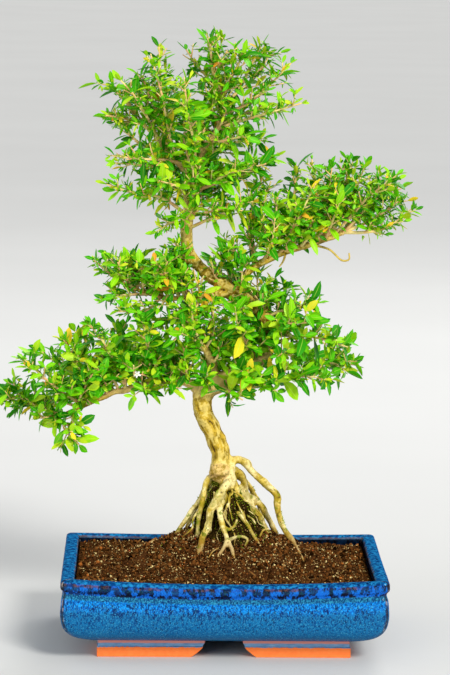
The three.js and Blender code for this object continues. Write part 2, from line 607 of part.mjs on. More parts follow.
// A small white star flower on its stalk above the low left branch.
function flower(seatCut) {
  const [base, mouth] = seatedRoute(FLOWER_STALK, seatCut);
  const line = twigLine(new THREE.LineCurve3(new THREE.Vector3(...base), new THREE.Vector3(...mouth)), 1);
  const petals = [];
  for (let k = 0; k < PETALS; k++) {
    const seat = line.at(1 - PETAL_SEAT / line.length);
    const matrix = leafPlace(seat, line.axis(1), line.side(1, k, PETALS), PETAL_SPREAD);
    petals.push(leafSolid(matrix, PETAL_LENGTH, PETAL_WIDTH));
  }
  const stalk = limb([[...base, STALK_RADIUS], [...mouth, MOUTH_RADIUS]], PETALS, 1);
  return joined([stalk, ...petals]);
}

const trayWhole = tray();
const woodWhole = wood(0);
const seatCut = wood(GAP);
place('tray', trayWhole, blueGlaze);
place('soil', soil().subtract(seatCut), darkSoil);
place('wood', woodWhole, tanBark);
place('flower', flower(seatCut), whitePetal);

let shootNumber = 0;
for (const [region, routes] of Object.entries(SHOOTS)) {
  routes.forEach((route, k) => {
    shootNumber += 1;
    const name = `shoot_${region}_${String(k + 1).padStart(2, '0')}`;
    place(name, shootSolid(shootNumber, route, seatCut), freshLeaf);
  });
}

// The whole part stands on z = 0 with its origin under the middle of its box.
const whole = placed.reduce((box, piece) => box.union(piece.box), new THREE.Box3());
const middle = whole.getCenter(new THREE.Vector3());
const bonsai = new THREE.Group();
for (const { name, solid, finish } of placed) {
  const mesh = new THREE.Mesh(geometryOf(solid), finish);
  mesh.name = name;
  bonsai.add(mesh);
}
bonsai.position.set(-middle.x, -middle.y, 0);

export default bonsai;
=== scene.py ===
# %% [markdown]
# # A serissa bonsai in a blue glazed tray
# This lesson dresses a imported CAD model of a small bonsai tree. The model comes first and
# fixes every size: nothing here moves it. Each step then replaces one of its coarse solids
# with a finer surface worked out with numpy, and gives it a finish made of shader nodes.

import bpy
import numpy as np
from mathutils import Matrix, Vector


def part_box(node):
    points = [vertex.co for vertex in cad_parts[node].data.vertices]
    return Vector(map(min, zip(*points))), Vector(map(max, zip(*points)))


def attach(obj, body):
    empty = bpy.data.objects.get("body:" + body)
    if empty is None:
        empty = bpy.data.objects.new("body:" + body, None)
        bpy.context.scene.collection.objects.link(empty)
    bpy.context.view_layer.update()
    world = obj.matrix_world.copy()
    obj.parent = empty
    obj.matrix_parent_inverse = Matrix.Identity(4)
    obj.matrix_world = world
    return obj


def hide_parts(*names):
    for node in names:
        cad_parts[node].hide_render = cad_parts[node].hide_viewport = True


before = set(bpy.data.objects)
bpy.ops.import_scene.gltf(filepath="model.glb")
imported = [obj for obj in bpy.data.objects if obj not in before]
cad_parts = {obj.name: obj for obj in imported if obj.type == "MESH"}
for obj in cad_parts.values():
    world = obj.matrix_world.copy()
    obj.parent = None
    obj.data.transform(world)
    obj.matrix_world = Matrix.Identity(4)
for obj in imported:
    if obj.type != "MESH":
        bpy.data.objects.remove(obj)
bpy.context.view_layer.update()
tray_low, tray_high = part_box("tray")
MM = 0.001
MIDDLE = np.array([(tray_low.x + tray_high.x) / 2, (tray_low.y + tray_high.y) / 2, 0]) / MM
print("tray centre in mm", MIDDLE.round(2), "nodes", len(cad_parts))

# %% [markdown]
# ## Camera
# The photograph was taken with a long lens from a little above the soil. Its tray's eight
# rim corners give the view: nearly straight on, eight degrees up, two and a half metres
# away. Blender's camera could be turned with a constraint, but a matrix built from three
# directions also holds the small roll of the photograph.

# %% Camera
VIEW_TURN, VIEW_RISE, VIEW_ROLL = np.radians([-1.326, 7.86, 0.612])
VIEW_DISTANCE = 2592.3
VIEW_TARGET = np.array([-0.14, 0.0, 237.5])
FOCAL_PIXELS, PICTURE_HEIGHT, SENSOR, CLIP_END = 3347.4, 675, 36.0, 100.0


def unit(v):
    """Each vector divided by its own length."""
    return v / np.maximum(np.linalg.norm(v, axis=-1, keepdims=True), 1e-9)


def place_camera():
    """Looks back along a direction given by its turn and rise, rolled about that direction."""
    turned, risen = np.array([np.sin(VIEW_TURN), -np.cos(VIEW_TURN)]), np.cos(VIEW_RISE)
    back = np.array([turned[0] * risen, turned[1] * risen, np.sin(VIEW_RISE)])
    right = unit(np.cross([0, 0, 1], back))
    up = np.cross(back, right)
    rolled = right * np.cos(VIEW_ROLL) + up * np.sin(VIEW_ROLL)
    raised = up * np.cos(VIEW_ROLL) - right * np.sin(VIEW_ROLL)
    camera = bpy.data.objects.new("camera", bpy.data.cameras.new("camera"))
    bpy.context.collection.objects.link(camera)
    camera.data.sensor_width = SENSOR
    camera.data.lens = SENSOR * FOCAL_PIXELS / PICTURE_HEIGHT
    camera.data.clip_end = CLIP_END
    turn = Matrix(np.stack([rolled, raised, back], axis=1).tolist()).to_4x4()
    eye = (VIEW_TARGET + MIDDLE + back * VIEW_DISTANCE) * MM
    camera.matrix_world = Matrix.Translation(Vector(eye)) @ turn
    bpy.context.scene.camera = camera
    return camera


camera = place_camera()
print("camera at", [round(x, 3) for x in camera.location], "lens", round(camera.data.lens, 1))

# %% [markdown]
# ## Arithmetic on shader sockets
# A finish is easier to read as a sum than as a web of nodes. One small class wraps a socket,
# and each sign adds the Math node that it stands for. Colours and directions go through Mix
# and Vector Math nodes, which keep all three of their parts.


# %% Sockets that can be added and multiplied
class Wire:
    """One output socket. wire + 1, 1 - wire and so on each add a Math node."""

    def __init__(self, tree, socket):
        self.tree, self.socket = tree, socket

    def math(self, operation, *values):
        node = self.tree.nodes.new("ShaderNodeMath")
        node.operation = operation
        for slot, value in zip(node.inputs, values):
            feed(self.tree, slot, value)
        return Wire(self.tree, node.outputs[0])

    def __add__(self, other):
        return self.math("ADD", self, other)

    def __sub__(self, other):
        return self.math("SUBTRACT", self, other)

    def __rsub__(self, other):
        return self.math("SUBTRACT", other, self)

    def __mul__(self, other):
        return self.math("MULTIPLY", self, other)

    __radd__, __rmul__ = __add__, __mul__


def feed(tree, slot, value):
    """Links a Wire to an input socket, or sets the socket to a plain value."""
    if isinstance(value, Wire):
        tree.links.new(value.socket, slot)
    else:
        slot.default_value = value


class Finish:
    """A material with one Principled shader; every other node comes from node()."""

    def __init__(self, name, **uniform):
        self.material = bpy.data.materials.new(name)
        self.material.use_nodes = True
        self.tree = self.material.node_tree
        shader = self.tree.nodes["Principled BSDF"]
        self.sockets = {socket.name.lower().replace(" ", "_"): socket for socket in shader.inputs}
        self.drive(**uniform)

    def node(self, kind, settings, inputs, output=0):
        """Adds a node: its settings first (stops are a ramp's), then its sockets."""
        new = self.tree.nodes.new(kind)
        for key, value in settings.items():
            if key == "stops":
                new.color_ramp.elements.remove(new.color_ramp.elements[1])
                for k, (position, colour) in enumerate(value):
                    stop = new.color_ramp.elements[0] if k == 0 else new.color_ramp.elements.new(position)
                    stop.position, stop.color = position, colour
            else:
                setattr(new, key, value)
        for key, value in inputs.items():
            feed(self.tree, new.inputs[key], value)
        return Wire(self.tree, new.outputs[output])

    def drive(self, **values):
        """Feeds wires to the shader's own sockets, or sets them to one value."""
        for name, value in values.items():
            feed(self.tree, self.sockets[name], value)

    def place(self, stretch=(1, 1, 1)):
        """Object coordinates in millimetres, stretched along each axis."""
        where = self.node("ShaderNodeTexCoord", {}, {}, "Object")
        scale = tuple(k / MM for k in stretch)
        return self.node("ShaderNodeVectorMath", {"operation": "MULTIPLY"}, {0: where, 1: scale})

    def parts(self, attribute):
        """The three numbers of a vector attribute."""
        vector = self.node("ShaderNodeAttribute", {"attribute_name": attribute}, {}, "Vector")
        return [self.node("ShaderNodeSeparateXYZ", {}, {0: vector}, axis) for axis in "XYZ"]

    def clouds(self, where, size, detail=2.0, rough=0.5):
        """Noise between 0 and 1 whose blotches are about size millimetres across."""
        inputs = {"Vector": where, "Scale": 1 / size, "Detail": detail, "Roughness": rough}
        return self.node("ShaderNodeTexNoise", {}, inputs, "Fac")

    def dots(self, where, size, spread=1.0):
        """Distance from scattered points that lie about size millimetres apart."""
        inputs = {"Vector": where, "Scale": 1 / size, "Randomness": spread}
        return self.node("ShaderNodeTexVoronoi", {}, inputs, "Distance")

    def step(self, value, low, high):
        """0 below low, 1 above high and smooth between; low may be above high."""
        inputs = {"Value": value, "From Min": low, "From Max": high}
        return self.node("ShaderNodeMapRange", {"interpolation_type": "SMOOTHSTEP"}, inputs)

    def mix(self, share, first, second):
        """first where share is 0 and second where it is 1."""
        inputs = {0: share, 6: first, 7: second}
        return self.node("ShaderNodeMix", {"data_type": "RGBA"}, inputs, 2)

    def bump(self, height, strength, distance):
        """A Bump node for the shader's Normal; distance in millimetres."""
        inputs = {"Height": height, "Strength": strength, "Distance": distance * MM}
        return self.node("ShaderNodeBump", {}, inputs)


def shade(red, green, blue):
    """A colour as seen on a screen, 0 to 255 each, turned into the light that it stands for."""
    screen = np.array([red, green, blue]) / 255
    light = np.where(screen < 0.04045, screen / 12.92, ((screen + 0.055) / 1.055) ** 2.4)
    return (*light.tolist(), 1.0)


print("a grey of 128 on the screen is this much light:", round(shade(128, 128, 128)[0], 3))

# %% [markdown]
# ## From arrays to pieces
# Each piece below is an array of points in millimetres, measured from the tray's centre on
# the floor, and arrays of the corners of its faces. A helper turns them into a mesh in
# metres, hides the solids that it stands for, and lets it ride on the one body.


# %% Meshes from arrays
def gathered(shapes):
    """Several (points, faces) as one, each shape's corners counted on from the last."""
    points, faces, count = [], [], 0
    for shape_points, shape_faces in shapes:
        points.append(shape_points)
        faces += [corners + count for corners in shape_faces]
        count += len(shape_points)
    return np.concatenate(points), faces


def mesh_of(name, points, faces):
    """A mesh whose faces are whole arrays of corners, one array for each number of sides."""
    mesh = bpy.data.meshes.new(name)
    corners = np.concatenate([f.ravel() for f in faces])
    sides = np.concatenate([np.full(len(f), f.shape[1]) for f in faces])
    mesh.vertices.add(len(points))
    mesh.vertices.foreach_set("co", ((points + MIDDLE) * MM).astype(np.float32).ravel())
    mesh.loops.add(len(corners))
    mesh.loops.foreach_set("vertex_index", corners.astype(np.int32))
    mesh.polygons.add(len(sides))
    mesh.polygons.foreach_set("loop_start", (np.cumsum(sides) - sides).astype(np.int32))
    mesh.update(calc_edges=True)
    mesh.shade_smooth()
    return mesh


def add_piece(name, mesh, finish, nodes=(), sharp=None, values=None):
    """Links a mesh as a piece of the part, with its finish, slot and replaced nodes."""
    for attribute, numbers in (values or {}).items():
        stored = mesh.attributes.new(attribute, "FLOAT_VECTOR", "POINT")
        stored.data.foreach_set("vector", numbers.astype(np.float32).ravel())
    if sharp is not None:
        mesh.set_sharp_from_angle(angle=np.radians(sharp))
    mesh.materials.append(finish.material)
    piece = bpy.data.objects.new(name, mesh)
    bpy.context.collection.objects.link(piece)
    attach(piece, "root")
    if nodes:
        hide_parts(*nodes)
    triangles = sum(len(p.vertices) - 2 for p in mesh.polygons)
    print(name, "triangles", triangles)
    return piece


one_face = (np.eye(3), [np.array([[0, 1, 2]])])
print("two faces gathered have", len(gathered([one_face, one_face])[0]), "points")

# %% [markdown]
# ## Uneven surfaces
# Nothing on a grown tree or a hand-glazed tray is even. A small noise in numpy serves them
# all: each corner of a grid of cubes gets a draw from a whole-number hash, and a point
# takes the blend of its cube's eight corners.


# %% Noise on whole arrays
def corner_draw(cells, salt):
    """A draw from 0 to 1 for each whole-number cell, from products and shifts of its numbers."""
    primes = np.array([374761393, 668265263, 2246822519], np.uint64)
    mixed = (cells.astype(np.int64).astype(np.uint64) * primes).sum(axis=-1) + np.uint64(salt * 977)
    mixed = (mixed ^ (mixed >> np.uint64(13))) * np.uint64(1274126177)
    return ((mixed ^ (mixed >> np.uint64(16))) & np.uint64(0xFFFF)) / 65535.0


def uneven(points, size, salt=0):
    """Noise from -1 to 1, blended smoothly between draws that lie size apart."""
    scaled = points / size
    base = np.floor(scaled)
    part = scaled - base
    eased = part * part * (3 - 2 * part)
    total = np.zeros(points.shape[:-1])
    for corner in np.ndindex(2, 2, 2):
        share = np.prod(np.where(np.array(corner) == 1, eased, 1 - eased), axis=-1)
        total += share * corner_draw(base + np.array(corner), salt)
    return total * 2 - 1


print("noise at three points", uneven(np.eye(3) * 5, 2.0).round(3))

# %% [markdown]
# ## Lines and tubes
# Trunk, roots, branches and twigs are all the same shape: a round section carried along a
# curve through listed points. The curve is a centripetal Catmull-Rom curve, which
# passes through every point with no loops, and is the one that the solids were made with.


# %% Curves through points
CURVE_CUTS = 24


def smooth_line(route, step):
    """Curve through points [x, y, z, radius], cut into even steps.

    Between two points it is the cubic whose slopes come from the neighbours, each weighted
    by the square root of its distance."""
    knots = np.array(route, float)
    padded = np.vstack([2 * knots[0] - knots[1], knots, 2 * knots[-1] - knots[-2]])
    gaps = np.sqrt(np.linalg.norm(np.diff(padded[:, :3], axis=0), axis=1))[:, None]
    moves = np.diff(padded, axis=0)
    skips = padded[2:] - padded[:-2]
    slopes = moves[:-1] / gaps[:-1] - skips / (gaps[:-1] + gaps[1:]) + moves[1:] / gaps[1:]
    start, end = padded[1:-2], padded[2:-1]
    leave, arrive = slopes[:-1] * gaps[1:-1], slopes[1:] * gaps[1:-1]
    w = np.linspace(0, 1, CURVE_CUTS, endpoint=False)[:, None, None]
    curve = (2 * w**3 - 3 * w**2 + 1) * start + (w**3 - 2 * w**2 + w) * leave
    curve = curve + (3 * w**2 - 2 * w**3) * end + (w**3 - w**2) * arrive
    curve[..., 3] = ((1 - w) * start[None] + w * end[None])[..., 3]
    curve = np.vstack([curve.transpose(1, 0, 2).reshape(-1, 4), knots[-1:]])
    run = np.concatenate([[0], np.cumsum(np.linalg.norm(np.diff(curve[:, :3], axis=0), axis=1))])
    even = np.linspace(0, run[-1], max(2, int(run[-1] / step) + 1))
    line = np.stack([np.interp(even, run, curve[:, k]) for k in range(4)], axis=1)
    return line[:, :3], line[:, 3]


def frames_of(lines):
    """Direction, side and top of each point of lines (m, n, 3), against the axis that each
    line follows least."""
    ahead = unit(np.gradient(lines, axis=-2))
    least = np.argmin(np.abs(ahead).max(axis=-2), axis=-1)
    side = unit(np.cross(ahead, np.eye(3)[least][..., None, :]))
    return ahead, side, np.cross(side, ahead)


def tubes(lines, radii, sides):
    """Round tubes along lines (m, n, 3) with radii (m, n), closed by a point at each end."""
    many, steps = radii.shape
    _, side, top = frames_of(lines)
    turn = np.arange(sides) * 2 * np.pi / sides
    ring = side[:, :, None] * np.cos(turn)[:, None] + top[:, :, None] * np.sin(turn)[:, None]
    rings = lines[:, :, None] + radii[:, :, None, None] * ring
    points = np.concatenate([rings.reshape(many, -1, 3), lines[:, :1], lines[:, -1:]], axis=1)
    around = np.arange(sides)
    following = (around + 1) % sides
    level = (np.arange(steps - 1) * sides)[:, None]
    walls = np.stack([level + around, level + sides + around, level + sides + following,
                      level + following], axis=-1).reshape(-1, 4)
    last = (steps - 1) * sides
    first_end = np.stack([np.full(sides, steps * sides), around, following], axis=-1)
    last_end = np.stack([np.full(sides, steps * sides + 1), last + following, last + around], axis=-1)
    offset = (np.arange(many) * (steps * sides + 2))[:, None, None]
    ends = np.concatenate([first_end, last_end])
    faces = [(walls[None] + offset).reshape(-1, 4), (ends[None] + offset).reshape(-1, 3)]
    return points.reshape(-1, 3), faces


def tube(route, step, sides):
    """One tube along a route of [x, y, z, radius]."""
    line, radius = smooth_line(route, step)
    return tubes(line[None], radius[None], sides)


bend = [[0, 0, 0, 1], [10, 0, 0, 1], [10, 10, 0, 1]]
print("a bend of two 10 mm stretches is cut into", len(smooth_line(bend, 1.0)[0]), "points")

# %% [markdown]
# ## The tray
# The tray is stoneware, thrown in a mould and finished by hand: a soft belly, a drawn-in
# neck and a thick lip that sags a little between its front corners. It is a profile of
# insets and heights carried round a rounded rectangle. A loft of a few sections would do,
# but a grid of profile by outline lets the glaze know how high and how far round it lies.

# %% The tray's shape
TRAY_LENGTH, TRAY_DEPTH, RIM_HEIGHT = 250.0, 190.0, 65.0
FRONT_SAG, BACK_SAG, BELLY_BOTTOM = 4.0, 1.0, 12.0
# Rows of the profile: inset from the outline, radius of its corners, and height.
TRAY_PROFILE = [
    [60, 12, 13.8], [30, 12, 13.6], [17, 11, 15.4], [8, 9, 19.4], [2.5, 7, 26.2], [0.3, 6, 35],
    [0.5, 5.5, 44], [1.2, 5, 50], [2.3, 4.5, 53.2], [2.5, 4.5, 54.6], [1.6, 4.5, 56.2],
    [0.4, 4.5, 57.6], [0.2, 4.5, 60], [0.5, 4.5, 63], [1.6, 4, 64.6], [4.5, 3, 65], [8.3, 2, 64.9],
    [10.2, 2, 64], [10.8, 2, 62], [10.8, 2, 50], [10.8, 4, 36], [16, 6, 25], [30, 8, 19], [60, 8, 19],
]
PROFILE_STEP, CORNER_CUTS, LONG_CUTS, SHORT_CUTS = 1.35, 9, 40, 30


def outline(inset, corner):
    """Points round rectangles with rounded corners, one rectangle for each inset, and how
    near each is to a corner's middle, from 0 to 1.

    Each quarter has its corner's arc and then the straight side after it."""
    half_x, half_y = TRAY_LENGTH / 2 - inset, TRAY_DEPTH / 2 - inset
    arcs, sides = [], []
    bend = 1 - np.abs(np.linspace(-1, 1, CORNER_CUTS))
    for quarter, (sx, sy) in enumerate([(1, 1), (-1, 1), (-1, -1), (1, -1)]):
        angle = (quarter + np.linspace(0, 1, CORNER_CUTS)) * np.pi / 2
        x = sx * (half_x - corner)[:, None] + corner[:, None] * np.cos(angle)
        y = sy * (half_y - corner)[:, None] + corner[:, None] * np.sin(angle)
        arcs.append(np.stack([x, y], axis=-1))
    for quarter in range(4):
        cuts = LONG_CUTS if quarter % 2 == 0 else SHORT_CUTS
        share = np.linspace(0, 1, cuts + 1)[1:-1][None, :, None]
        start, end = arcs[quarter][:, -1:], arcs[(quarter + 1) % 4][:, :1]
        sides.append(start + (end - start) * share)
    edges = [part for side in sides for part in (bend, np.zeros(side.shape[1]))]
    points = np.concatenate([part for pair in zip(arcs, sides) for part in pair], axis=1)
    return points, np.concatenate(edges)


def eased(value, low, high):
    """0 below low, 1 above high, smooth between."""
    share = np.clip((value - low) / (high - low), 0, 1)
    return share * share * (3 - 2 * share)


def sag(x, y, z):
    """How far the long sides hang below a straight line: most in their middle and at the front."""
    middle = np.clip(1 - (2 * x / TRAY_LENGTH) ** 2, 0, None)
    depth = FRONT_SAG + (BACK_SAG - FRONT_SAG) * (y / TRAY_DEPTH + 0.5)
    beside = eased(np.abs(y), TRAY_DEPTH * 0.25, TRAY_DEPTH * 0.42)
    return depth * middle * beside * eased(z, BELLY_BOTTOM + 8, RIM_HEIGHT - 8)


def loft_faces(rings, around):
    """Quads between rings of points, and a fan that closes the first and the last ring."""
    a, b = np.arange(around), (np.arange(around) + 1) % around
    level = (np.arange(rings - 1) * around)[:, None]
    quads = np.stack([level + a, level + b, level + around + b, level + around + a], axis=-1)
    first = np.stack([np.full(around, rings * around), b, a], axis=-1)
    last = np.stack([np.full(around, rings * around + 1), (rings - 1) * around + a,
                     (rings - 1) * around + b], axis=-1)
    return [quads.reshape(-1, 4), np.concatenate([first, last])]


def tray_surface():
    """Profile by outline, sagged, with a glaze that lies unevenly on it."""
    profile, _ = smooth_line([[*row, 0] for row in TRAY_PROFILE], PROFILE_STEP)
    inset, corner, height = profile.T
    flat, bend = outline(inset, corner)
    x, y = flat[..., 0], flat[..., 1]
    z = np.broadcast_to(height[:, None], x.shape)
    sagged = z - sag(x, y, z)
    points = np.stack([x, y, sagged], axis=-1)
    out = unit(points - np.array([0, 0, 40.0]))
    swell = 0.22 * uneven(points, 34, 5) + 0.1 * uneven(points * [1, 1, 0.5], 7, 6) - 0.3
    points = points + out * (swell * eased(z, 14, 20))[..., None]
    outside = np.arange(len(inset)) < np.argmax(height)
    signed = np.where(outside, -inset, inset)[:, None]
    values = np.stack([z, signed + 0 * x, bend + 0 * x], axis=-1)
    middles = np.array([[0, 0, height[0]], [0, 0, height[-1]]])
    middle_values = np.array([[height[0], -inset[0], 0], [height[-1], inset[-1], 0]])
    points = np.concatenate([points.reshape(-1, 3), middles])
    return points, loft_faces(*x.shape), np.concatenate([values.reshape(-1, 3), middle_values])


tray_points, tray_faces, tray_values = tray_surface()
print("tray grid points", len(tray_points))

# %% [markdown]
# ### Blue glaze
# Two glazes run over each other. A thin teal-blue coat covers the belly and is peppered
# with navy where the iron in the clay comes through. A thick cobalt coat was dipped over
# the rim: it is brightest in a ragged band below the neck, pools in blotches on the lip,
# and breaks to brown and black on every edge where it ran thin. Down the corners these
# streaks are also painted highlight and shade, and the wall inside the rim is darkened as
# painted shade. The bands follow the height that each point had before the rim sagged,
# so they bend with the lip.


# %% Blue glaze
def belly_coat(glaze, height, where, run, fine, grain, drip):
    """Teal on the belly and cobalt above it, under navy pepper, flecks and lit spots.

    The bands are edges in height, pushed up and down by the drips."""
    lift = height + (drip - 0.5) * 8
    foot, belly = glaze.step(height, 26, 13), glaze.step(height, 15, 33)
    coat = glaze.mix(glaze.clouds(where, 24, 2), shade(8, 84, 138), shade(20, 112, 164))
    coat = glaze.mix(foot * 0.8, coat, shade(8, 74, 122))
    bright = glaze.mix(glaze.step(fine, 0.4, 0.6), shade(6, 90, 176), shade(18, 140, 218))
    coat = glaze.mix(glaze.step(lift, 39, 45), coat, bright)
    neck = glaze.mix(glaze.step(fine, 0.38, 0.64), shade(8, 60, 100), shade(34, 124, 160))
    coat = glaze.mix(glaze.step(height + (drip - 0.5) * 2.5, 49.6, 51.2), coat, neck)
    navy = glaze.step(grain, 0.5, 0.57) * (belly * 0.6 + 0.1)
    coat = glaze.mix(navy, coat, shade(2, 34, 96))
    crowd = glaze.step(glaze.clouds(where, 7, 2), 0.3, 0.65) * (belly * 0.7 + 0.25)
    specks = glaze.step(glaze.dots(run, 1.9), 0.36, 0.22) * crowd
    coat = glaze.mix(specks * 0.85, coat, shade(2, 24, 70))
    flecks = glaze.step(glaze.clouds(run, 2.4, 2, 0.6), 0.55, 0.61) * glaze.step(lift, 34, 41)
    coat = glaze.mix(flecks * glaze.step(height, 52, 48) * 0.85, coat, shade(3, 26, 80))
    lit = glaze.step(glaze.clouds(where, 0.9, 1), 0.57, 0.67)
    return glaze.mix(lit * 0.5, coat, shade(64, 164, 200))


def lip_coat(glaze, run, grain):
    """Cobalt that pools to navy and breaks to near black on the lip's outer face."""
    pool = glaze.clouds(glaze.place((1, 1, 0.5)), 6, 5, 0.75)
    lip = glaze.mix(glaze.step(pool, 0.46, 0.54), shade(2, 8, 26), shade(12, 102, 206))
    lip = glaze.mix(glaze.step(grain, 0.52, 0.62) * 0.5, lip, shade(4, 44, 120))
    broken = glaze.step(glaze.clouds(run, 7.5, 3, 0.7), 0.52, 0.59)
    return glaze.mix(broken * 0.8, lip, shade(14, 8, 16))


def rim_coat(glaze, body, height, inset, outside, where, fine, drip):
    """The flat top of the rim in two blues, rust on both its edges, and painted shade that darkens the wall
    inside.
    """
    light, dark = glaze.clouds(where, 3.4, 4, 0.7), glaze.clouds(where, 5, 4, 0.7)
    top = glaze.mix(glaze.step(light, 0.42, 0.6), shade(4, 58, 116), shade(30, 126, 182))
    top = glaze.mix(glaze.step(dark, 0.54, 0.62) * 0.8, top, shade(4, 22, 64))
    body = glaze.mix(glaze.step(height + (fine - 0.5) * 1.6, 62.4, 63.4), body, top)
    ragged = glaze.clouds(glaze.place((0.35, 0.35, 1)), 2.2, 2)
    edge = height + (ragged - 0.5) * 1.4
    near_edge = glaze.step(edge, 60.2, 61.2) * glaze.step(edge, 63.2, 62.4)
    rust = glaze.mix(glaze.step(glaze.clouds(where, 1.8, 2), 0.4, 0.65), shade(16, 9, 8), shade(104, 66, 46))
    patchy = glaze.step(glaze.clouds(glaze.place((0.5, 1, 1)), 11, 3), 0.46, 0.54)
    body = glaze.mix(near_edge * outside * (patchy * 0.65 + 0.1), body, rust)
    inner_edge = glaze.step(inset + (ragged - 0.5) * 1.2, 9.7, 10.2) * glaze.step(height, 62.4, 63.4)
    body = glaze.mix(inner_edge * (patchy * 0.5 + 0.05), body, shade(112, 84, 54))
    # Painted shade: the wall inside the rim is made navy to near black.
    inner = glaze.step(inset, 10.5, 10.75) * glaze.step(height, 63.4, 62.2)
    wall = glaze.mix(glaze.step(drip, 0.4, 0.65), shade(2, 6, 14), shade(6, 28, 52))
    return glaze.mix(inner, body, wall)


def blue_glaze():
    """The three coats, each from its own height up, and pale and dark clay down the corners where
    the glaze broke, streaks that also serve as painted highlight and shade on the corners.
    """
    glaze = Finish("blue_glaze", specular_ior_level=0.0, coat_roughness=0.1)
    height, inset, bend = glaze.parts("glaze")
    where, run = glaze.place(), glaze.place((1, 1, 0.55))
    fine, grain = glaze.clouds(where, 1.25, 2, 0.6), glaze.clouds(run, 1.25, 2, 0.7)
    drip, outside = glaze.clouds(run, 3.2, 3, 0.6), glaze.step(inset, 0.5, -0.5)
    body = belly_coat(glaze, height, where, run, fine, grain, drip)
    body = glaze.mix(glaze.step(height, 53.6, 55.0) * outside, body, lip_coat(glaze, run, grain))
    body = rim_coat(glaze, body, height, inset, outside, where, fine, drip)
    # Partly painted light: the corner streaks are broken glaze and also the corners' highlight and shade.
    corner = glaze.step(bend + (fine - 0.5) * 0.5, 0.55, 0.9) * glaze.step(height, 18, 30)
    worn_and_edge_shading = glaze.mix(glaze.step(drip, 0.5, 0.64), shade(34, 26, 28), shade(160, 148, 140))
    ripple = glaze.clouds(where, 5, 3, 0.5) + glaze.clouds(where, 1.3, 2) * 0.3
    glaze.drive(base_color=glaze.mix(corner * 0.8, body, worn_and_edge_shading), roughness=fine * 0.2 + 0.3,
                coat_weight=glaze.step(height, 64.6, 63) * 0.22 + 0.02, normal=glaze.bump(ripple, 0.3, 0.5))
    return glaze


tray_piece = add_piece("glazed_tray", mesh_of("glazed_tray", tray_points, tray_faces), blue_glaze(),
                       ["tray"], values={"glaze": tray_values})

# %% [markdown]
# ### Drain holes
# Two round holes let water out through the floor of the tray. They are cut with a boolean
# rather than modelled, because the floor's faces all run to one middle point.

# %% Drain holes
DRAIN_RADIUS, DRAIN_OFFSET, DRAIN_SIDES, DRILL_LOW, DRILL_HIGH = 7.0, 55.0, 28, 6.0, 26.0
UNDER_TRAY = [12.0, -60.0, 0.0]


def drill(x):
    """An upright closed cylinder that reaches through the floor of the tray at x."""
    turn = np.arange(DRAIN_SIDES) * 2 * np.pi / DRAIN_SIDES
    ring = np.stack([x + DRAIN_RADIUS * np.cos(turn), DRAIN_RADIUS * np.sin(turn), 0 * turn], axis=-1)
    ends = [[x, 0, DRILL_LOW], [x, 0, DRILL_HIGH]]
    points = np.concatenate([ring + [0, 0, DRILL_LOW], ring + [0, 0, DRILL_HIGH], ends])
    return points, loft_faces(2, DRAIN_SIDES)


drill_pair = gathered([drill(-DRAIN_OFFSET), drill(DRAIN_OFFSET)])
drills = bpy.data.objects.new("drills", mesh_of("drills", *drill_pair))
bpy.context.scene.collection.objects.link(drills)
cut = tray_piece.modifiers.new("drain_holes", "BOOLEAN")
cut.operation, cut.object, cut.solver = "DIFFERENCE", drills, "EXACT"
pierced = bpy.data.meshes.new_from_object(tray_piece.evaluated_get(bpy.context.evaluated_depsgraph_get()))


def place_keys(mesh):
    """One whole number for each point's place: its three coordinates in micrometres, made
    positive, side by side in 20 bits each."""
    spots = np.empty(len(mesh.vertices) * 3, np.float32)
    mesh.vertices.foreach_get("co", spots)
    steps = np.round(spots.reshape(-1, 3).astype(float) * 1e6).astype(np.int64) + 2**18
    return steps @ np.array([2**40, 2**20, 1])


# The boolean drops the glaze's values, so each point that it kept is found again by its
# place, and the new points on the holes' edges take the values of the tray's underside.
old_keys, new_keys = place_keys(tray_piece.data), place_keys(pierced)
order = np.argsort(old_keys)
spot = order[np.minimum(np.searchsorted(old_keys[order], new_keys), len(order) - 1)]
kept = old_keys[spot] == new_keys
glaze_values = np.where(kept[:, None], tray_values[spot], UNDER_TRAY).astype(np.float32)
tray_piece.modifiers.clear()
tray_piece.data = pierced
pierced.attributes["glaze"].data.foreach_set("vector", glaze_values.ravel())
bpy.data.objects.remove(drills)
print("tray points kept", kept.sum(), "new", (~kept).sum())

# %% [markdown]
# ### Feet
# Four corner feet lift the tray. Each is two bars that meet, scooped where they end under
# the long and short sides. The glaze was wiped off them before firing, so their lower
# band is bare orange clay and only a smear of blue is left just under the belly. A bar is
# an outline pushed through its thickness; a bevel then softens the clay's edges.

# %% The feet
FOOT_OUTER_X, FOOT_OUTER_Y, FOOT_INNER_X, FOOT_INNER_Y = 97.0, 67.0, 13.0, 16.0
FOOT_WALL, FOOT_SCOOP, FOOT_TOP, FOOT_STEP, STEP_INSET = 12.0, 12.0, 15.0, 8.0, 0.8
FOOT_BEVEL, FOOT_SHARP = 0.7, 35


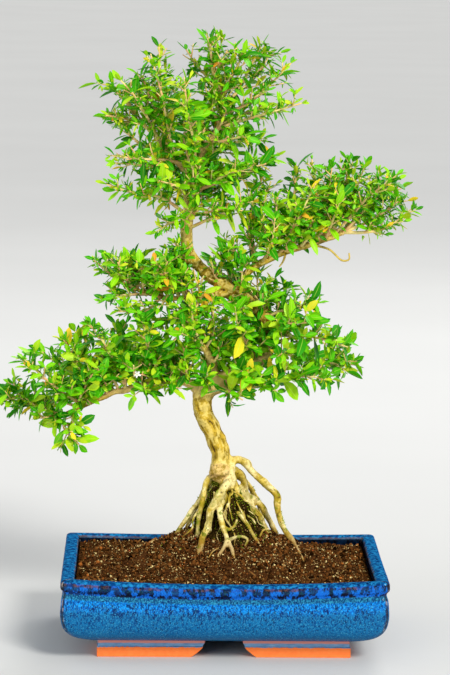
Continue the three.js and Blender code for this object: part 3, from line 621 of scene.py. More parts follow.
def foot_at(side_x, side_y):
    """One foot: an upright section carried from the end of one leg round the mitred corner to
    the end of the other. Each end is scooped as the square of the height that is left."""
    clay = np.linspace(0, FOOT_STEP, 6)
    glazed = np.linspace(FOOT_STEP, FOOT_TOP, 4)
    height = np.concatenate([clay, glazed])
    half = FOOT_WALL / 2 - np.repeat([0, STEP_INSET], [len(clay), len(glazed)])
    scoop = FOOT_SCOOP * (1 - height / FOOT_TOP) ** 2 + FOOT_WALL / 2 - half
    z, t, cut = [np.concatenate([half_, half_[::-1]]) for half_ in (height, half, scoop)]
    t[: len(height)] *= -1
    x, y = FOOT_OUTER_X - FOOT_WALL / 2 - t, FOOT_OUTER_Y - FOOT_WALL / 2 - t
    ends = [(FOOT_INNER_X + cut, y), (x, y), (x, FOOT_INNER_Y + cut)]
    points = np.concatenate([np.stack([side_x * px, side_y * py, z], axis=-1) for px, py in ends])
    count = len(z)
    a, b = np.arange(count), (np.arange(count) + 1) % count
    legs = [np.stack([a, b, b + count, a + count], axis=-1) + k * count for k in (0, 1)]
    rows = np.arange(len(height) - 1)
    cap = np.stack([rows, count - 1 - rows, count - 2 - rows, rows + 1], axis=-1)
    faces = np.concatenate([*legs, cap, cap[:, ::-1] + 2 * count])
    return points, [faces if side_x * side_y > 0 else faces[:, ::-1]]


def bare_clay():
    """Orange clay below a wavy edge, a smear of blue-grey glaze above, pink where they meet."""
    clay = Finish("bare_clay", roughness=0.75)
    where = clay.place()
    height = clay.node("ShaderNodeSeparateXYZ", {}, {0: where}, "Z")
    waver, ragged = clay.clouds(where, 6, 2), clay.clouds(clay.place((1, 1, 0.3)), 2.6, 3, 0.6)
    orange = clay.mix(clay.clouds(where, 4, 4, 0.6), shade(244, 104, 26), shade(255, 140, 62))
    smear = clay.clouds(clay.place((0.4, 0.4, 1)), 2.4, 3)
    grey_blue = clay.mix(smear, shade(44, 104, 160), shade(150, 194, 228))
    pink = shade(222, 140, 128)
    glazed = clay.step(height + (waver - 0.5) * 1.4 + (ragged - 0.5) * 2.2, 7.5, 7.9)
    upper = clay.mix(clay.step(height + (waver - 0.5) * 1.0, 10.5, 11.0), grey_blue, pink)
    grain = clay.clouds(where, 0.7, 2)
    clay.drive(base_color=clay.mix(glazed, orange, upper), roughness=0.8 - glazed * 0.45,
               normal=clay.bump(grain, 0.3, 0.2))
    return clay


feet_points, feet_faces = gathered([foot_at(x, y) for x in (1, -1) for y in (1, -1)])
feet_mesh = mesh_of("clay_feet", feet_points, feet_faces)
feet_piece = add_piece("clay_feet", feet_mesh, bare_clay(), ["tray"], sharp=FOOT_SHARP)
soften = feet_piece.modifiers.new("soften", "BEVEL")
soften.width, soften.segments, soften.angle_limit = FOOT_BEVEL * MM, 2, np.radians(FOOT_SHARP)

# %% [markdown]
# ## Soil
# The soil is a dark peaty mix with pale grit, heaped up under the bare roots. Its bed is a
# height field: one formula for the heap, and three sizes of noise for clods and crumbs.
# Loose crumbs and grit lie on it as small faceted stones, since a bump alone would look
# like carpet.

# %% The bed of soil
SOIL_LEVEL, MOUND_HEIGHT, MOUND_HALF_LENGTH, MOUND_HALF_DEPTH = 60.0, 27.0, 66.0, 46.0
MOUND_X, MOUND_Y = 3.0, 4.0
SOIL_HALF_X, SOIL_HALF_Y, SOIL_BOTTOM = 113.4, 83.4, 30.0
SOIL_CUTS_X, SOIL_CUTS_Y = 164, 122
SHRUNK, SHRINK_BAND_X, SHRINK_BAND_Y = 2.6, 12, 14


def soil_height(x, y):
    """A plain that slopes a little, and a heap that falls off with the cube of distance."""
    away = np.hypot((x - MOUND_X) / MOUND_HALF_LENGTH, (y - MOUND_Y) / MOUND_HALF_DEPTH)
    return SOIL_LEVEL - x / TRAY_LENGTH * 2.4 + y / TRAY_DEPTH * 2.2 + MOUND_HEIGHT * np.exp(-(away**3))


def crumbled(x, y):
    """The soil's height with its clods and crumbs, lower where it has shrunk from the walls."""
    flat = np.stack([x, y, 0 * x], axis=-1)
    clods = 0.9 * uneven(flat, 9, 1) + 0.7 * np.abs(uneven(flat, 3.6, 2)) + 0.35 * uneven(flat, 1.7, 3)
    beside_wall = np.maximum(eased(np.abs(x), SOIL_HALF_X - SHRINK_BAND_X, SOIL_HALF_X),
                             eased(y, SOIL_HALF_Y - SHRINK_BAND_Y, SOIL_HALF_Y))
    return soil_height(x, y) + clods - 0.5 - SHRUNK * beside_wall


def soil_bed():
    """A grid on top, and a skirt from its border that closes underneath on one point."""
    x, y = np.meshgrid(np.linspace(-SOIL_HALF_X, SOIL_HALF_X, SOIL_CUTS_X),
                       np.linspace(-SOIL_HALF_Y, SOIL_HALF_Y, SOIL_CUTS_Y), indexing="ij")
    top = np.stack([x, y, crumbled(x, y)], axis=-1).reshape(-1, 3)
    index = np.arange(x.size).reshape(x.shape)
    quads = np.stack([index[:-1, :-1], index[1:, :-1], index[1:, 1:], index[:-1, 1:]], axis=-1)
    border = np.concatenate([index[:-1, 0], index[-1, :-1], index[:0:-1, -1], index[0, :0:-1]])
    low = top[border] * [0.97, 0.97, 0] + [0, 0, SOIL_BOTTOM]
    base = len(top) + np.arange(len(border))
    after = np.roll(np.arange(len(border)), -1)
    skirt = np.stack([border, base, base[after], border[after]], axis=-1)
    floor = np.stack([base, np.full(len(base), len(top) + len(base)), base[after]], axis=-1)
    points = np.concatenate([top, low, [[0, 0, SOIL_BOTTOM]]])
    return points, [quads.reshape(-1, 4), skirt, floor]


def dark_soil(name, damp, dry):
    """Earth from its dark colour to its pale one in patches, with a fine dusting of grit."""
    earth = Finish(name, roughness=0.95, specular_ior_level=0.0)
    where = earth.place()
    crumb = earth.step(earth.clouds(where, 2.0, 4, 0.75), 0.34, 0.68)
    colour = earth.mix(crumb, damp, dry)
    colour = earth.mix(earth.step(earth.clouds(where, 24, 2), 0.45, 0.7) * 0.4, colour, dry)
    grit = earth.step(earth.dots(where, 2.7), 0.24, 0.12)
    colour = earth.mix(grit * 0.6, colour, shade(196, 160, 96))
    earth.drive(base_color=colour, normal=earth.bump(earth.clouds(where, 0.9, 4, 0.7), 0.9, 0.8))
    return earth


earth_finish = dark_soil("dark_soil", shade(10, 4, 1), shade(94, 58, 30))
add_piece("soil_bed", mesh_of("soil_bed", *soil_bed()), earth_finish, ["soil"])

# %% [markdown]
# ### Loose crumbs and grit
# Large crumbs and chips are the same twenty-sided stone, and the small grains and the pale
# grit the same eight-sided one, each squashed and turned by its own draw. A sphere would
# look too smooth and cost more faces. A seeded generator makes the draws, so each run gives
# the same bed.

# %% Crumbs, grit and clay chips
draws = np.random.default_rng(31)
GOLDEN = (1 + 5**0.5) / 2
PEBBLE = unit(np.array([[-1, GOLDEN, 0], [1, GOLDEN, 0], [-1, -GOLDEN, 0], [1, -GOLDEN, 0],
                        [0, -1, GOLDEN], [0, 1, GOLDEN], [0, -1, -GOLDEN], [0, 1, -GOLDEN],
                        [GOLDEN, 0, -1], [GOLDEN, 0, 1], [-GOLDEN, 0, -1], [-GOLDEN, 0, 1]]))
PEBBLE_FACES = np.array([[0, 11, 5], [0, 5, 1], [0, 1, 7], [0, 7, 10], [0, 10, 11], [1, 5, 9], [5, 11, 4],
                         [11, 10, 2], [10, 7, 6], [7, 1, 8], [3, 9, 4], [3, 4, 2], [3, 2, 6], [3, 6, 8],
                         [3, 8, 9], [4, 9, 5], [2, 4, 11], [6, 2, 10], [8, 6, 7], [9, 8, 1]])
GRAIN = np.array([[1.0, 0, 0], [-1, 0, 0], [0, 1, 0], [0, -1, 0], [0, 0, 1], [0, 0, -1]])
GRAIN_FACES = np.array([[0, 2, 4], [2, 1, 4], [1, 3, 4], [3, 0, 4],
                        [2, 0, 5], [1, 2, 5], [3, 1, 5], [0, 3, 5]])
STONE_MARGIN = 2.0


def turns(count):
    """Random turning matrices, from random directions made square to each other."""
    first = unit(draws.normal(size=(count, 3)))
    second = unit(np.cross(first, draws.normal(size=(count, 3))))
    return np.stack([first, second, np.cross(first, second)], axis=-1)


def stones(stone, corners, count, smallest, largest, sink, stretch):
    """Scattered stones: an even draw over the bed, with every third one drawn towards the
    steep front of the heap, and sizes crowded towards the smallest."""
    x = draws.uniform(-SOIL_HALF_X + STONE_MARGIN, SOIL_HALF_X - STONE_MARGIN, count)
    y = draws.uniform(-SOIL_HALF_Y + STONE_MARGIN, SOIL_HALF_Y - STONE_MARGIN, count)
    x[::3], y[::3] = x[::3] * 0.55 + 2, np.abs(y[::3]) * -0.55
    size = smallest + (largest - smallest) * draws.random(count) ** 2.5
    squash = size[:, None] * draws.uniform(0.55, 1.1, (count, 3)) * np.array(stretch)
    bumpy = stone * draws.uniform(0.78, 1.15, (count, len(stone), 1))
    shapes = np.einsum("nij,nkj->nki", turns(count), bumpy * squash[:, None])
    middle = np.stack([x, y, crumbled(x, y) + size * (1 - sink)], axis=-1)
    points = (shapes + middle[:, None]).reshape(-1, 3)
    faces = (corners[None] + (np.arange(count) * len(stone))[:, None, None]).reshape(-1, 3)
    tint = np.repeat(draws.random((count, 3)), len(stone), axis=0)
    return points, [faces], tint


def stone_finish(name, dark, pale, rare, roughness):
    """One colour for each stone, from its own draw, with a few of a rarer colour."""
    stone = Finish(name, roughness=roughness, specular_ior_level=0.0)
    tint, chance, _ = stone.parts("tint")
    colour = stone.mix(stone.step(chance, 0.96, 0.98), stone.mix(tint, dark, pale), rare)
    speck = stone.clouds(stone.place(), 0.5, 3, 0.7)
    stone.drive(base_color=stone.mix(speck * 0.4, colour, dark), normal=stone.bump(speck, 0.6, 0.2))
    return stone


crumb = stone_finish("crumb", shade(8, 3, 1), shade(132, 82, 38), shade(176, 104, 46), 0.95)
grit = stone_finish("grit", shade(116, 76, 26), shade(252, 230, 158), shade(190, 92, 48), 0.7)
chip = stone_finish("chip", shade(70, 42, 18), shade(150, 104, 54), shade(190, 84, 48), 0.85)
for name, stone, corners, count, smallest, largest, sink, stretch, finish in [
    ("soil_crumbs", PEBBLE, PEBBLE_FACES, 2300, 0.7, 2.2, 0.5, (1, 1, 1), crumb),
    ("soil_grains", GRAIN, GRAIN_FACES, 5000, 0.5, 1.5, 0.3, (1, 1, 1), crumb),
    ("soil_grit", GRAIN, GRAIN_FACES, 3200, 0.4, 1.25, 0.3, (1, 1, 1), grit),
    ("bark_chips", PEBBLE, PEBBLE_FACES, 170, 1.0, 2.2, 0.2, (2.0, 0.7, 0.4), chip),
]:
    points, faces, tint = stones(stone, corners, count, smallest, largest, sink, stretch)
    add_piece(name, mesh_of(name, points, faces), finish, values={"tint": tint})

# %% [markdown]
# ## The wood
# Trunk, roots and branches grew as one piece. Each limb is first a plain tube along its
# route. Tubes that only cross would meet in hard creases, so a voxel remesh joins them
# into one skin, which a short smoothing pass rounds at every fork. The bark is then
# raised on that skin by a formula that runs along each limb.

# %% Routes of the limbs
TRUNK = [
    [-2, 2, 125, 6.5], [-3, 0, 134, 8.6], [-3, 0, 148, 7.5], [-9, 0, 162, 7.3], [-16.5, 0, 179, 7.2],
    [-18, 0, 189, 7.4], [-14, 1, 197, 8], [-2, 4, 203, 7.4], [12, 8, 209, 7], [25, 10, 218, 6.6],
    [34, 10, 231, 6.2], [33, 8, 244, 6], [28, 5, 256, 5.9], [17, 2, 266, 5.6], [5, 1, 273, 5.3],
    [-8, 0, 282, 5], [-18, 0, 290, 5], [-25, 0, 297, 5.2], [-29, 0, 306, 5], [-30, 0, 317, 4.7],
    [-30, 0, 329, 4.4], [-27, 0, 343, 3.9], [-26, 0, 356, 3.4], [-24, 0, 371, 2.8],
]
ROOTS = [
    [[2, 0, 140, 4], [13, 1, 141, 3.3], [22.5, 2, 131.5, 3], [34, 3, 121, 2.8], [42.3, 4, 113.4, 2.9],
     [42.6, 4, 105, 2.8], [46.5, 2, 89, 2.7], [54, -1, 77, 2.5], [63, -4, 62, 1.6]],
    [[2, 2, 136, 4], [14, 8, 127, 3.2], [18, 12, 114, 2.6], [27, 16, 105, 2.6], [35, 20, 94, 2.5],
     [42, 24, 78, 2.2], [46, 26, 62, 1.6]],
    [[4, 3, 128, 3], [18, 11, 108, 2.6], [27, 13, 95, 2.7], [35, 15, 81, 2.3], [40, 16, 66, 1.6]],
    [[2, 4, 130, 3], [17, 18, 122, 2.4], [25, 28, 109, 2.2], [31, 37, 90, 2], [36, 44, 64, 1.4]],
    [[6, -2, 138, 3.4], [4, -9, 127, 3.2], [-3, -14, 118, 3.3], [-9, -19, 108, 3.1], [-12, -23, 95, 2.9],
     [-17, -28, 82, 2.6], [-22, -33, 66, 1.8]],
    [[-6, 0, 132, 3], [-13, -4, 126, 2.3], [-16, -7, 114, 2.1], [-19, -10, 99, 2.1], [-20, -13, 85, 1.9],
     [-21, -16, 66, 1.4]],
    [[-14, -5, 121, 2], [-18, -2, 110, 2], [-24, 0, 102, 2], [-32, 2, 89, 1.9], [-38, 4, 79, 1.7],
     [-46, 5, 64, 1.2]],
    [[-1, -4, 128, 3], [0, -11, 114, 2.4], [-3, -20, 103, 2.2], [0, -27, 93, 2.3], [2, -32, 84, 2],
     [-6, -37, 70, 1.4]],
    [[1, -29, 89, 1.9], [5, -34, 80, 1.7], [9, -39, 66, 1.1]],
    [[3, 0, 131, 2.4], [11, -3, 118, 2.1], [6, -5, 108, 2]],
    [[2, -3, 114, 2], [10, -9, 103, 1.9], [18, -15, 93, 1.8], [27, -21, 79, 1.5], [31, -24, 66, 1]],
    [[-5, 3, 130, 3], [-13, 16, 117, 2.4], [-20, 27, 101, 2.1], [-27, 38, 82, 1.9], [-31, 44, 64, 1.4]],
    [[0, 4, 128, 3], [1, 20, 112, 2.5], [4, 34, 94, 2.2], [7, 46, 64, 1.6]],
]
BRANCHES = [
    [[-24, 0, 366, 3], [-18, -2, 381, 2.6], [-7, -5, 401, 2.1], [-2, -6, 416, 1.7], [-6, -5, 430, 1.4],
     [-11, -4, 443, 1.2]],
    [[-28, 0, 358, 2.8], [-35, 3, 370, 2.3], [-49, 8, 384, 1.9], [-65, 14, 403, 1.5], [-75, 16, 415, 1.2]],
    [[17, 2, 266, 4.6], [12, 0, 277, 3.7], [15, -1, 286, 3.3], [22, -2, 293, 3], [37, -3, 301, 2.8],
     [61, -4, 310, 2.7], [81, -5, 317, 2.6], [91, -6, 321, 1.7]],
    [[-14, 0, 192, 5], [-29, -2, 202, 3.6], [-38, -3, 204, 3.1], [-56, -4, 201, 2.8], [-77, -5, 197, 2.5],
     [-91, -6, 193, 2.3], [-107, -7, 185, 1.8], [-127, -9, 177, 1.3]],
    [[4, 1, 273, 3.6], [-18, -5, 270, 2.6], [-37, -8, 269, 2.2], [-55, -9, 271, 1.9], [-70, -9, 276, 1.6],
     [-84, -8, 283, 1.3]],
    [[-8, 2, 201, 4.5], [-9, -4, 214, 3.4], [-14, -9, 226, 3], [-20, -14, 236, 2.2]],
]
ROOTLETS = [
    [[4, -31, 84, 1.6], [9, -35, 87, 1.2], [14, -37, 88, 1.1], [18, -38, 86, 1.0], [16, -39, 81, 0.7]],
    [[0, -26, 93, 1.6], [4, -29, 92, 1.3], [8, -30, 95, 1.1], [10, -30, 100, 0.8]],
    [[10, -10, 110, 0.5], [15, -16, 101, 0.45], [19, -19, 92, 0.35]],
    [[-11, -21, 110, 0.5], [-9, -24, 103, 0.45], [-14, -27, 97, 0.4], [-16, -30, 88, 0.35]],
    [[-4, -32, 78, 0.6], [-9, -38, 76, 0.5], [-12, -41, 72, 0.4]],
    [[28, -18, 84, 0.8], [31, -20, 90, 0.6], [35, -21, 91, 0.5]],
    [[54, -1, 77, 1.9], [57, -8, 74, 1.3], [59.5, -17, 70.8, 1.0], [61, -22, 69, 0.8], [62, -27, 66.6, 0.5]],
    [[-45, 4, 66, 1.2], [-51, 2, 62, 0.7], [-55, -2, 60, 0.4]],
]
SNAGS = [
    [[64, -4, 311, 1.1], [79, -12, 308, 0.8], [89, -16, 300, 0.8], [94, -17, 301, 0.7], [94, -17, 306, 0.6]],
    [[46, -3, 304, 1], [44, -5, 298, 0.8], [41, -8, 294, 0.5]],
]
KNOBS = [
    [[-3, -3, 137, 6.6], [-3, -4.5, 133, 8.0], [-3, -4.5, 130.5, 7.4]],
    [[5, -5, 131, 3.4], [6, -7, 125, 4.0], [6, -8, 119, 3.2]],
    [[1, -5, 116, 2.6], [1, -7, 111, 3.0], [0, -8, 107, 2.0]],
    [[14, 1, 141, 3.2], [18, 2, 138, 3.6], [20, 2, 134, 3.0]],
    [[-31, 1, 304, 3.4], [-32, -2, 300, 3.8], [-30, -3, 296, 3.2]],
]
KNOB_MIDDLE, KNOB_REACH, KNOB_TOP = np.array([-3, -4.5, 132.3]), 8.6, 138
KNOB_RING, KNOB_RING_WIDE, KNOB_RING_DEEP = 1.08, 0.09, 0.6
VOXEL, LIMB_STEP, LIMB_SIDES, LIMB_APART = 0.9, 1.5, 20, 211


def grown(route, salt):
    """A route's line, bent a little and swollen here and there by noise, ends kept."""
    line, radius = smooth_line(route, LIMB_STEP)
    inside = np.sin(np.linspace(0, np.pi, len(line))) ** 0.5
    bends = np.stack([uneven(line, 8.5, salt + k) for k in range(3)], axis=-1)
    line = line + bends * (0.42 * np.minimum(radius, 2.6) * inside)[:, None]
    return line, radius * (1 + 0.12 * uneven(line, 6.5, salt + 3) * inside)


limbs = [TRUNK, *ROOTS, *BRANCHES, *KNOBS]
limb_lines = [grown(route, 20 + 5 * k) for k, route in enumerate(limbs)]
print("limbs", len(limbs), "total length in mm", round(sum(len(line) * LIMB_STEP for line, _ in limb_lines)))


# %% One skin over all the limbs
def joined_skin(shapes, voxel):
    """A voxel remesh of closed shapes, read back as points and quads in millimetres."""
    rough = bpy.data.objects.new("rough_wood", mesh_of("rough_wood", *gathered(shapes)))
    bpy.context.collection.objects.link(rough)
    remesh = rough.modifiers.new("remesh", "REMESH")
    remesh.mode, remesh.voxel_size = "VOXEL", voxel * MM
    smooth = rough.modifiers.new("smooth", "CORRECTIVE_SMOOTH")
    smooth.factor, smooth.iterations, smooth.use_only_smooth = 0.5, 5, True
    skin = bpy.data.meshes.new_from_object(rough.evaluated_get(bpy.context.evaluated_depsgraph_get()))
    bpy.data.objects.remove(rough)
    return skin


def read_points(mesh):
    """A mesh's points and normals, in millimetres from the tray's centre."""
    points = np.empty(len(mesh.vertices) * 3, np.float32)
    normals = np.empty(len(mesh.vertices) * 3, np.float32)
    mesh.vertices.foreach_get("co", points)
    mesh.vertex_normals.foreach_get("vector", normals)
    return points.reshape(-1, 3).astype(float) / MM - MIDDLE, normals.reshape(-1, 3).astype(float)


wood_skin = joined_skin([tubes(line[None], radius[None], LIMB_SIDES) for line, radius in limb_lines], VOXEL)
wood_points, wood_normals = read_points(wood_skin)
print("wood skin points", len(wood_points))


# %% Bark that runs along each limb
def nearest_on_limbs(points, block=4000):
    """For each point, the limb station whose surface is nearest: its place, its radius, the
    distance run along the limb and the limb's direction there."""
    stations = np.concatenate([line for line, _ in limb_lines])
    radii = np.concatenate([radius for _, radius in limb_lines])
    run = np.concatenate([np.arange(len(line)) * LIMB_STEP + LIMB_APART * k
                          for k, (line, _) in enumerate(limb_lines)])
    ahead = np.concatenate([unit(np.gradient(line, axis=0)) for line, _ in limb_lines])
    found = np.concatenate([
        np.argmin(np.linalg.norm(part[:, None] - stations, axis=-1) - radii, axis=1)
        for part in np.array_split(points, len(points) // block + 1)])
    return stations[found], radii[found], run[found], ahead[found]


def bark_relief(points):
    """Height of the bark: long ridges that wander, flakes across them, and broad knuckles.

    The ridges are noise on coordinates squeezed along the limb, so they come out long. A
    ring is pressed in round the swollen knob at the trunk's foot."""
    station, radius, run, ahead = nearest_on_limbs(points)
    out = points - station
    out = out - (out * ahead).sum(-1, keepdims=True) * ahead
    along = run + uneven(points, 8, 11) * 2
    ridges = 1 - np.abs(uneven(out + ahead * (along * 0.22)[:, None], 2.1, 12)) * 2
    flakes = uneven(out + ahead * (along * 0.8)[:, None], 1.6, 13)
    knuckles = uneven(points, 11, 14) + 0.5 * uneven(points, 5.5, 15)
    thick = eased(radius, 1.0, 6.5)
    relief = ridges * (0.08 + 0.26 * thick) + flakes * (0.07 + 0.12 * thick) + knuckles * (0.2 + 0.7 * thick)
    knob = np.linalg.norm(points - KNOB_MIDDLE, axis=-1) / KNOB_REACH
    ring = np.exp(-(((knob - KNOB_RING) / KNOB_RING_WIDE) ** 2)) * (points[:, 2] < KNOB_TOP)
    return relief - ring * KNOB_RING_DEEP, ridges, knob


relief, ridges, knob = bark_relief(wood_points)
# The normal's height goes along, for painted shade underneath and painted highlight on top.
bark_values = np.stack([ridges, knob, wood_normals[:, 2]], axis=-1)
wood_raised = wood_points + wood_normals * relief[:, None]
wood_skin.vertices.foreach_set("co", ((wood_raised + MIDDLE) * MM).astype(np.float32).ravel())
wood_skin.update()
wood_skin.shade_smooth()
print("bark relief in mm", relief.min().round(2), relief.max().round(2))


# %% [markdown]
# ### Bark
# Serissa bark is thin and flaky: straw to olive tan, with cream streaks where the outer
# layer has peeled, which on the ridges and upper faces also serve as painted highlight.
# Painted shade darkens its furrows and the faces that point down. The bare roots are paler
# and smoother, and green with algae and moss lower down, where they stay damp.


# %% Bark finish
def trunk_colour(bark, mottle, fine, ridge, upward):
    """Olive and straw by patches; cream on the ridges, partly peeled bark and partly painted
    highlight; painted shade in brown between the ridges and in olive on faces that point down.
    """
    trunk = bark.mix(bark.step(mottle, 0.38, 0.62), shade(134, 108, 14), shade(200, 166, 52))
    # Cream on the ridges: peeled bark and painted highlight.
    trunk = bark.mix(bark.step(ridge + fine * 0.8, 0.7, 1.25) * 0.6, trunk, shade(242, 218, 124))
    # Painted shade: brown where the relief is low.
    trunk = bark.mix(bark.step(ridge + fine * 0.5, 0.05, -0.5) * 0.8, trunk, shade(84, 58, 12))
    # Painted shade: olive on faces that point down.
    return bark.mix(bark.step(upward + mottle * 0.6, 0.25, -0.45) * 0.5, trunk, shade(112, 92, 8))


def root_colour(bark, where, mottle, fine, upward):
    """Paler straw with broad cream patches, a few more on upper faces as painted highlight,
    painted shade in olive on faces that point down, and long brown stains.
    """
    broad, stain = bark.clouds(where, 13, 2), bark.clouds(bark.place((1, 1, 0.45)), 2.4, 4, 0.7)
    root = bark.mix(bark.step(mottle, 0.36, 0.64), shade(178, 152, 44), shade(228, 202, 100))
    # The cream leans to faces that point up: partly a painted highlight.
    cream = bark.step(broad + fine * 0.25 + upward * 0.1, 0.54, 0.72)
    root = bark.mix(cream * 0.75, root, shade(250, 236, 172))
    # Painted shade: olive on faces that point down.
    root = bark.mix(bark.step(upward + mottle * 0.6, 0.25, -0.45) * 0.65, root, shade(134, 116, 14))
    return bark.mix(bark.step(stain, 0.5, 0.6) * 0.55, root, shade(160, 126, 30))


def scarred(bark, colour, where, height, knob, mottle):
    """A flaky pink-tan scar inside the knob's reach, and painted shade in a dark ring round its
    lower half, under the knob's overhang.
    """
    flaky = bark.step(bark.clouds(where, 3.8, 3, 0.6), 0.4, 0.56)
    scar = bark.mix(flaky, shade(142, 112, 38), shade(228, 190, 122))
    colour = bark.mix(bark.step(knob, 1.04, 0.94) * 0.7, colour, scar)
    # Painted shade: a dark ring under the knob's lower half.
    around = bark.step(knob, 0.9, 1.06) * bark.step(knob, 1.4, 1.12) * bark.step(height, 136, 124)
    return bark.mix(around * bark.step(mottle, 0.36, 0.56) * 0.75, colour, shade(64, 50, 10))


def stained(bark, colour, where, height):
    """Olive damp and green algae in patches on the lower roots."""
    damp = bark.step(height, 138, 104) * bark.step(bark.clouds(where, 10, 3, 0.6), 0.44, 0.6)
    colour = bark.mix(damp * 0.65, colour, shade(148, 132, 14))
    algae = bark.step(height, 132, 100) * bark.step(bark.clouds(where, 5, 3, 0.6), 0.58, 0.64)
    return bark.mix(algae * 0.7, colour, shade(96, 122, 10))


def tan_bark():
    """Root below the knob and trunk above it, scarred and stained, paler where branches and the
    trunk's bend catch the light, with painted shade in the furrows, and earthy near the soil."""
    bark = Finish("tan_bark", specular_ior_level=0.1)
    where = bark.place()
    ridge, knob, upward = bark.parts("bark")
    height = bark.node("ShaderNodeSeparateXYZ", {}, {0: where}, "Z")
    mottle, fine = bark.clouds(where, 6.5, 4, 0.62), bark.clouds(where, 1.1, 3, 0.6)
    colour = bark.mix(bark.step(height, 150, 134), trunk_colour(bark, mottle, fine, ridge, upward),
                      root_colour(bark, where, mottle, fine, upward))
    colour = scarred(bark, colour, where, height, knob, mottle)
    light = bark.step(height, 300, 345) + bark.step(height, 188, 198) * bark.step(height, 236, 218)
    colour = bark.mix(light * 0.55, colour, shade(250, 216, 142))
    colour = stained(bark, colour, where, height)
    # Painted shade in the furrows, where the relief is low.
    furrow_shade = bark.step(ridge + mottle * 0.7, 0.1, -0.35)
    colour = bark.mix(furrow_shade * 0.7, colour, shade(66, 46, 14))
    earthy = bark.step(height + (mottle - 0.5) * 16, 92, 76)
    colour = bark.mix(earthy * 0.6, colour, shade(132, 76, 26))
    grain = bark.clouds(where, 0.8, 4, 0.7)
    bark.drive(base_color=colour, roughness=fine * 0.25 + 0.5, normal=bark.bump(grain, 0.6, 0.4))
    return bark


SNAG_SIDES, CLEAR_OF_KNOB = 8, 9.0
bark_finish = tan_bark()
add_piece("wood_bark", wood_skin, bark_finish, ["wood"], values={"bark": bark_values})
snag_points, snag_faces = gathered([tube(route, LIMB_STEP, SNAG_SIDES) for route in SNAGS + ROOTLETS])
snag_values = np.tile([0.6, CLEAR_OF_KNOB, 0.0], (len(snag_points), 1))
add_piece("dead_snags", mesh_of("dead_snags", snag_points, snag_faces), bark_finish,
          values={"bark": snag_values})

# %% [markdown]
# ### Inside the claw of roots
# The roots once grew in the ground and were lifted bit by bit. Old soil still clings
# between them under the swollen base of the trunk, held by fine roots, and moss has
# settled on it. The clinging soil is a tapering tube roughened by noise; the fine roots
# are tubes through points that wander out and down; each sprig of moss is one small spike.

# %% Clinging soil and fine roots
CLINGING = [[3, 6, 76, 36], [2, 6, 86, 29.5], [1, 6, 96, 22.5],
            [1, 5, 106, 17], [0, 4, 116, 12.5], [0, 3, 126, 7.5]]
CLING_STEP, CLING_SIDES, CLING_MIDDLE = 1.2, 40, np.array([1, 3, 0])
FINE_ROOTS, FINE_TOP, FINE_REACH, FINE_CUTS, FINE_SIDES = 46, 126, 34, 34, 7
GOLDEN_ANGLE = np.pi * (3 - 5**0.5)
UP = np.array([0, 0, 1.0])


def clinging_soil():
    """The tapering heap, pushed in and out across its axis by three sizes of noise."""
    line, radius = smooth_line(CLINGING, CLING_STEP)
    points, faces = tubes(line[None], radius[None], CLING_SIDES)
    out = unit((points - CLING_MIDDLE) * [1, 1, 0])
    rough = 2.6 * uneven(points, 8, 51) + 1.3 * uneven(points, 3.2, 52) + 0.5 * uneven(points, 1.5, 53)
    return points + out * rough[:, None], faces


def fine_root_lines():
    """Lines that start under the trunk's base, spread with the depth that they have fallen,
    and wander sideways by noise."""
    turn = np.arange(FINE_ROOTS) * GOLDEN_ANGLE
    reach = FINE_REACH * draws.uniform(0.25, 1.0, FINE_ROOTS)
    fall = np.linspace(0, 1, FINE_CUTS)[None, :, None]
    out = np.stack([np.cos(turn), 0.8 * np.sin(turn), 0 * turn], axis=-1)[:, None]
    start = np.array([0, 1, FINE_TOP - 10]) + out * 5 + draws.uniform(-1, 1, (FINE_ROOTS, 1, 3)) * [3, 3, 9]
    strands = start + out * reach[:, None, None] * fall**0.9
    ground = soil_height(strands[:, -1, 0], strands[:, -1, 1]) - 2
    strands[..., 2] = start[..., 2] + (ground[:, None] - start[..., 2]) * fall[..., 0] ** 1.15
    bends = [uneven(strands + turn[:, None, None] * 40, size, 60 + k) for size in (14, 5) for k in range(3)]
    strands = strands + np.stack(bends[:3], axis=-1) * 4 + np.stack(bends[3:], axis=-1) * 1.4
    thick = draws.uniform(0.35, 1.35, (FINE_ROOTS, 1)) * (1 - 0.5 * fall[..., 0])
    return strands, thick * (1 + 0.25 * uneven(strands, 3, 70))


cling_points, cling_faces = clinging_soil()
# Painted shade: the soil between the roots gets near-black colours, darker than the open bed.
add_piece("clinging_soil", mesh_of("clinging_soil", cling_points, cling_faces),
          dark_soil("root_soil", shade(4, 4, 1), shade(62, 46, 18)), ["wood"])
root_lines, root_radii = fine_root_lines()
fine_points, fine_faces = tubes(root_lines, root_radii, FINE_SIDES)
# Ridge values mostly below zero let the bark's painted furrow shade darken the fine roots.
fine_ridges = 0.8 * uneven(fine_points, 5, 71) - 0.15
fine_values = np.stack([fine_ridges, CLEAR_OF_KNOB + 0 * fine_ridges, 0 * fine_ridges], axis=-1)
add_piece("fine_roots", mesh_of("fine_roots", fine_points, fine_faces), bark_finish, ["wood"],
          values={"bark": fine_values})


# %% Moss
MOSS_TALLEST, MOSS_TRIES = 2.0, 2600


def moss_sprigs(seeds, toward):
    """Three-sided spikes that stand on seeds and lean towards the given directions."""
    count = len(seeds)
    grow = unit(toward + draws.normal(0, 0.45, (count, 3)))
    across = unit(np.cross(grow, draws.normal(size=(count, 3))))
    other = np.cross(grow, across)
    width, height = draws.uniform(0.25, 0.5, (count, 1)), MOSS_TALLEST * draws.uniform(0.4, 1.0, (count, 1))
    base = seeds - grow * 0.25
    corners = [base + width * (across * np.cos(a) + other * np.sin(a)) for a in (0, 2.094, 4.189)]
    points = np.stack([*corners, seeds + grow * height], axis=1).reshape(-1, 3)
    spike = np.array([[0, 1, 3], [1, 2, 3], [2, 0, 3], [2, 1, 0]])
    faces = (spike[None] + (np.arange(count) * 4)[:, None, None]).reshape(-1, 3)
    tint = np.repeat(draws.random((count, 3)), 4, axis=0)
    return points, [faces], tint


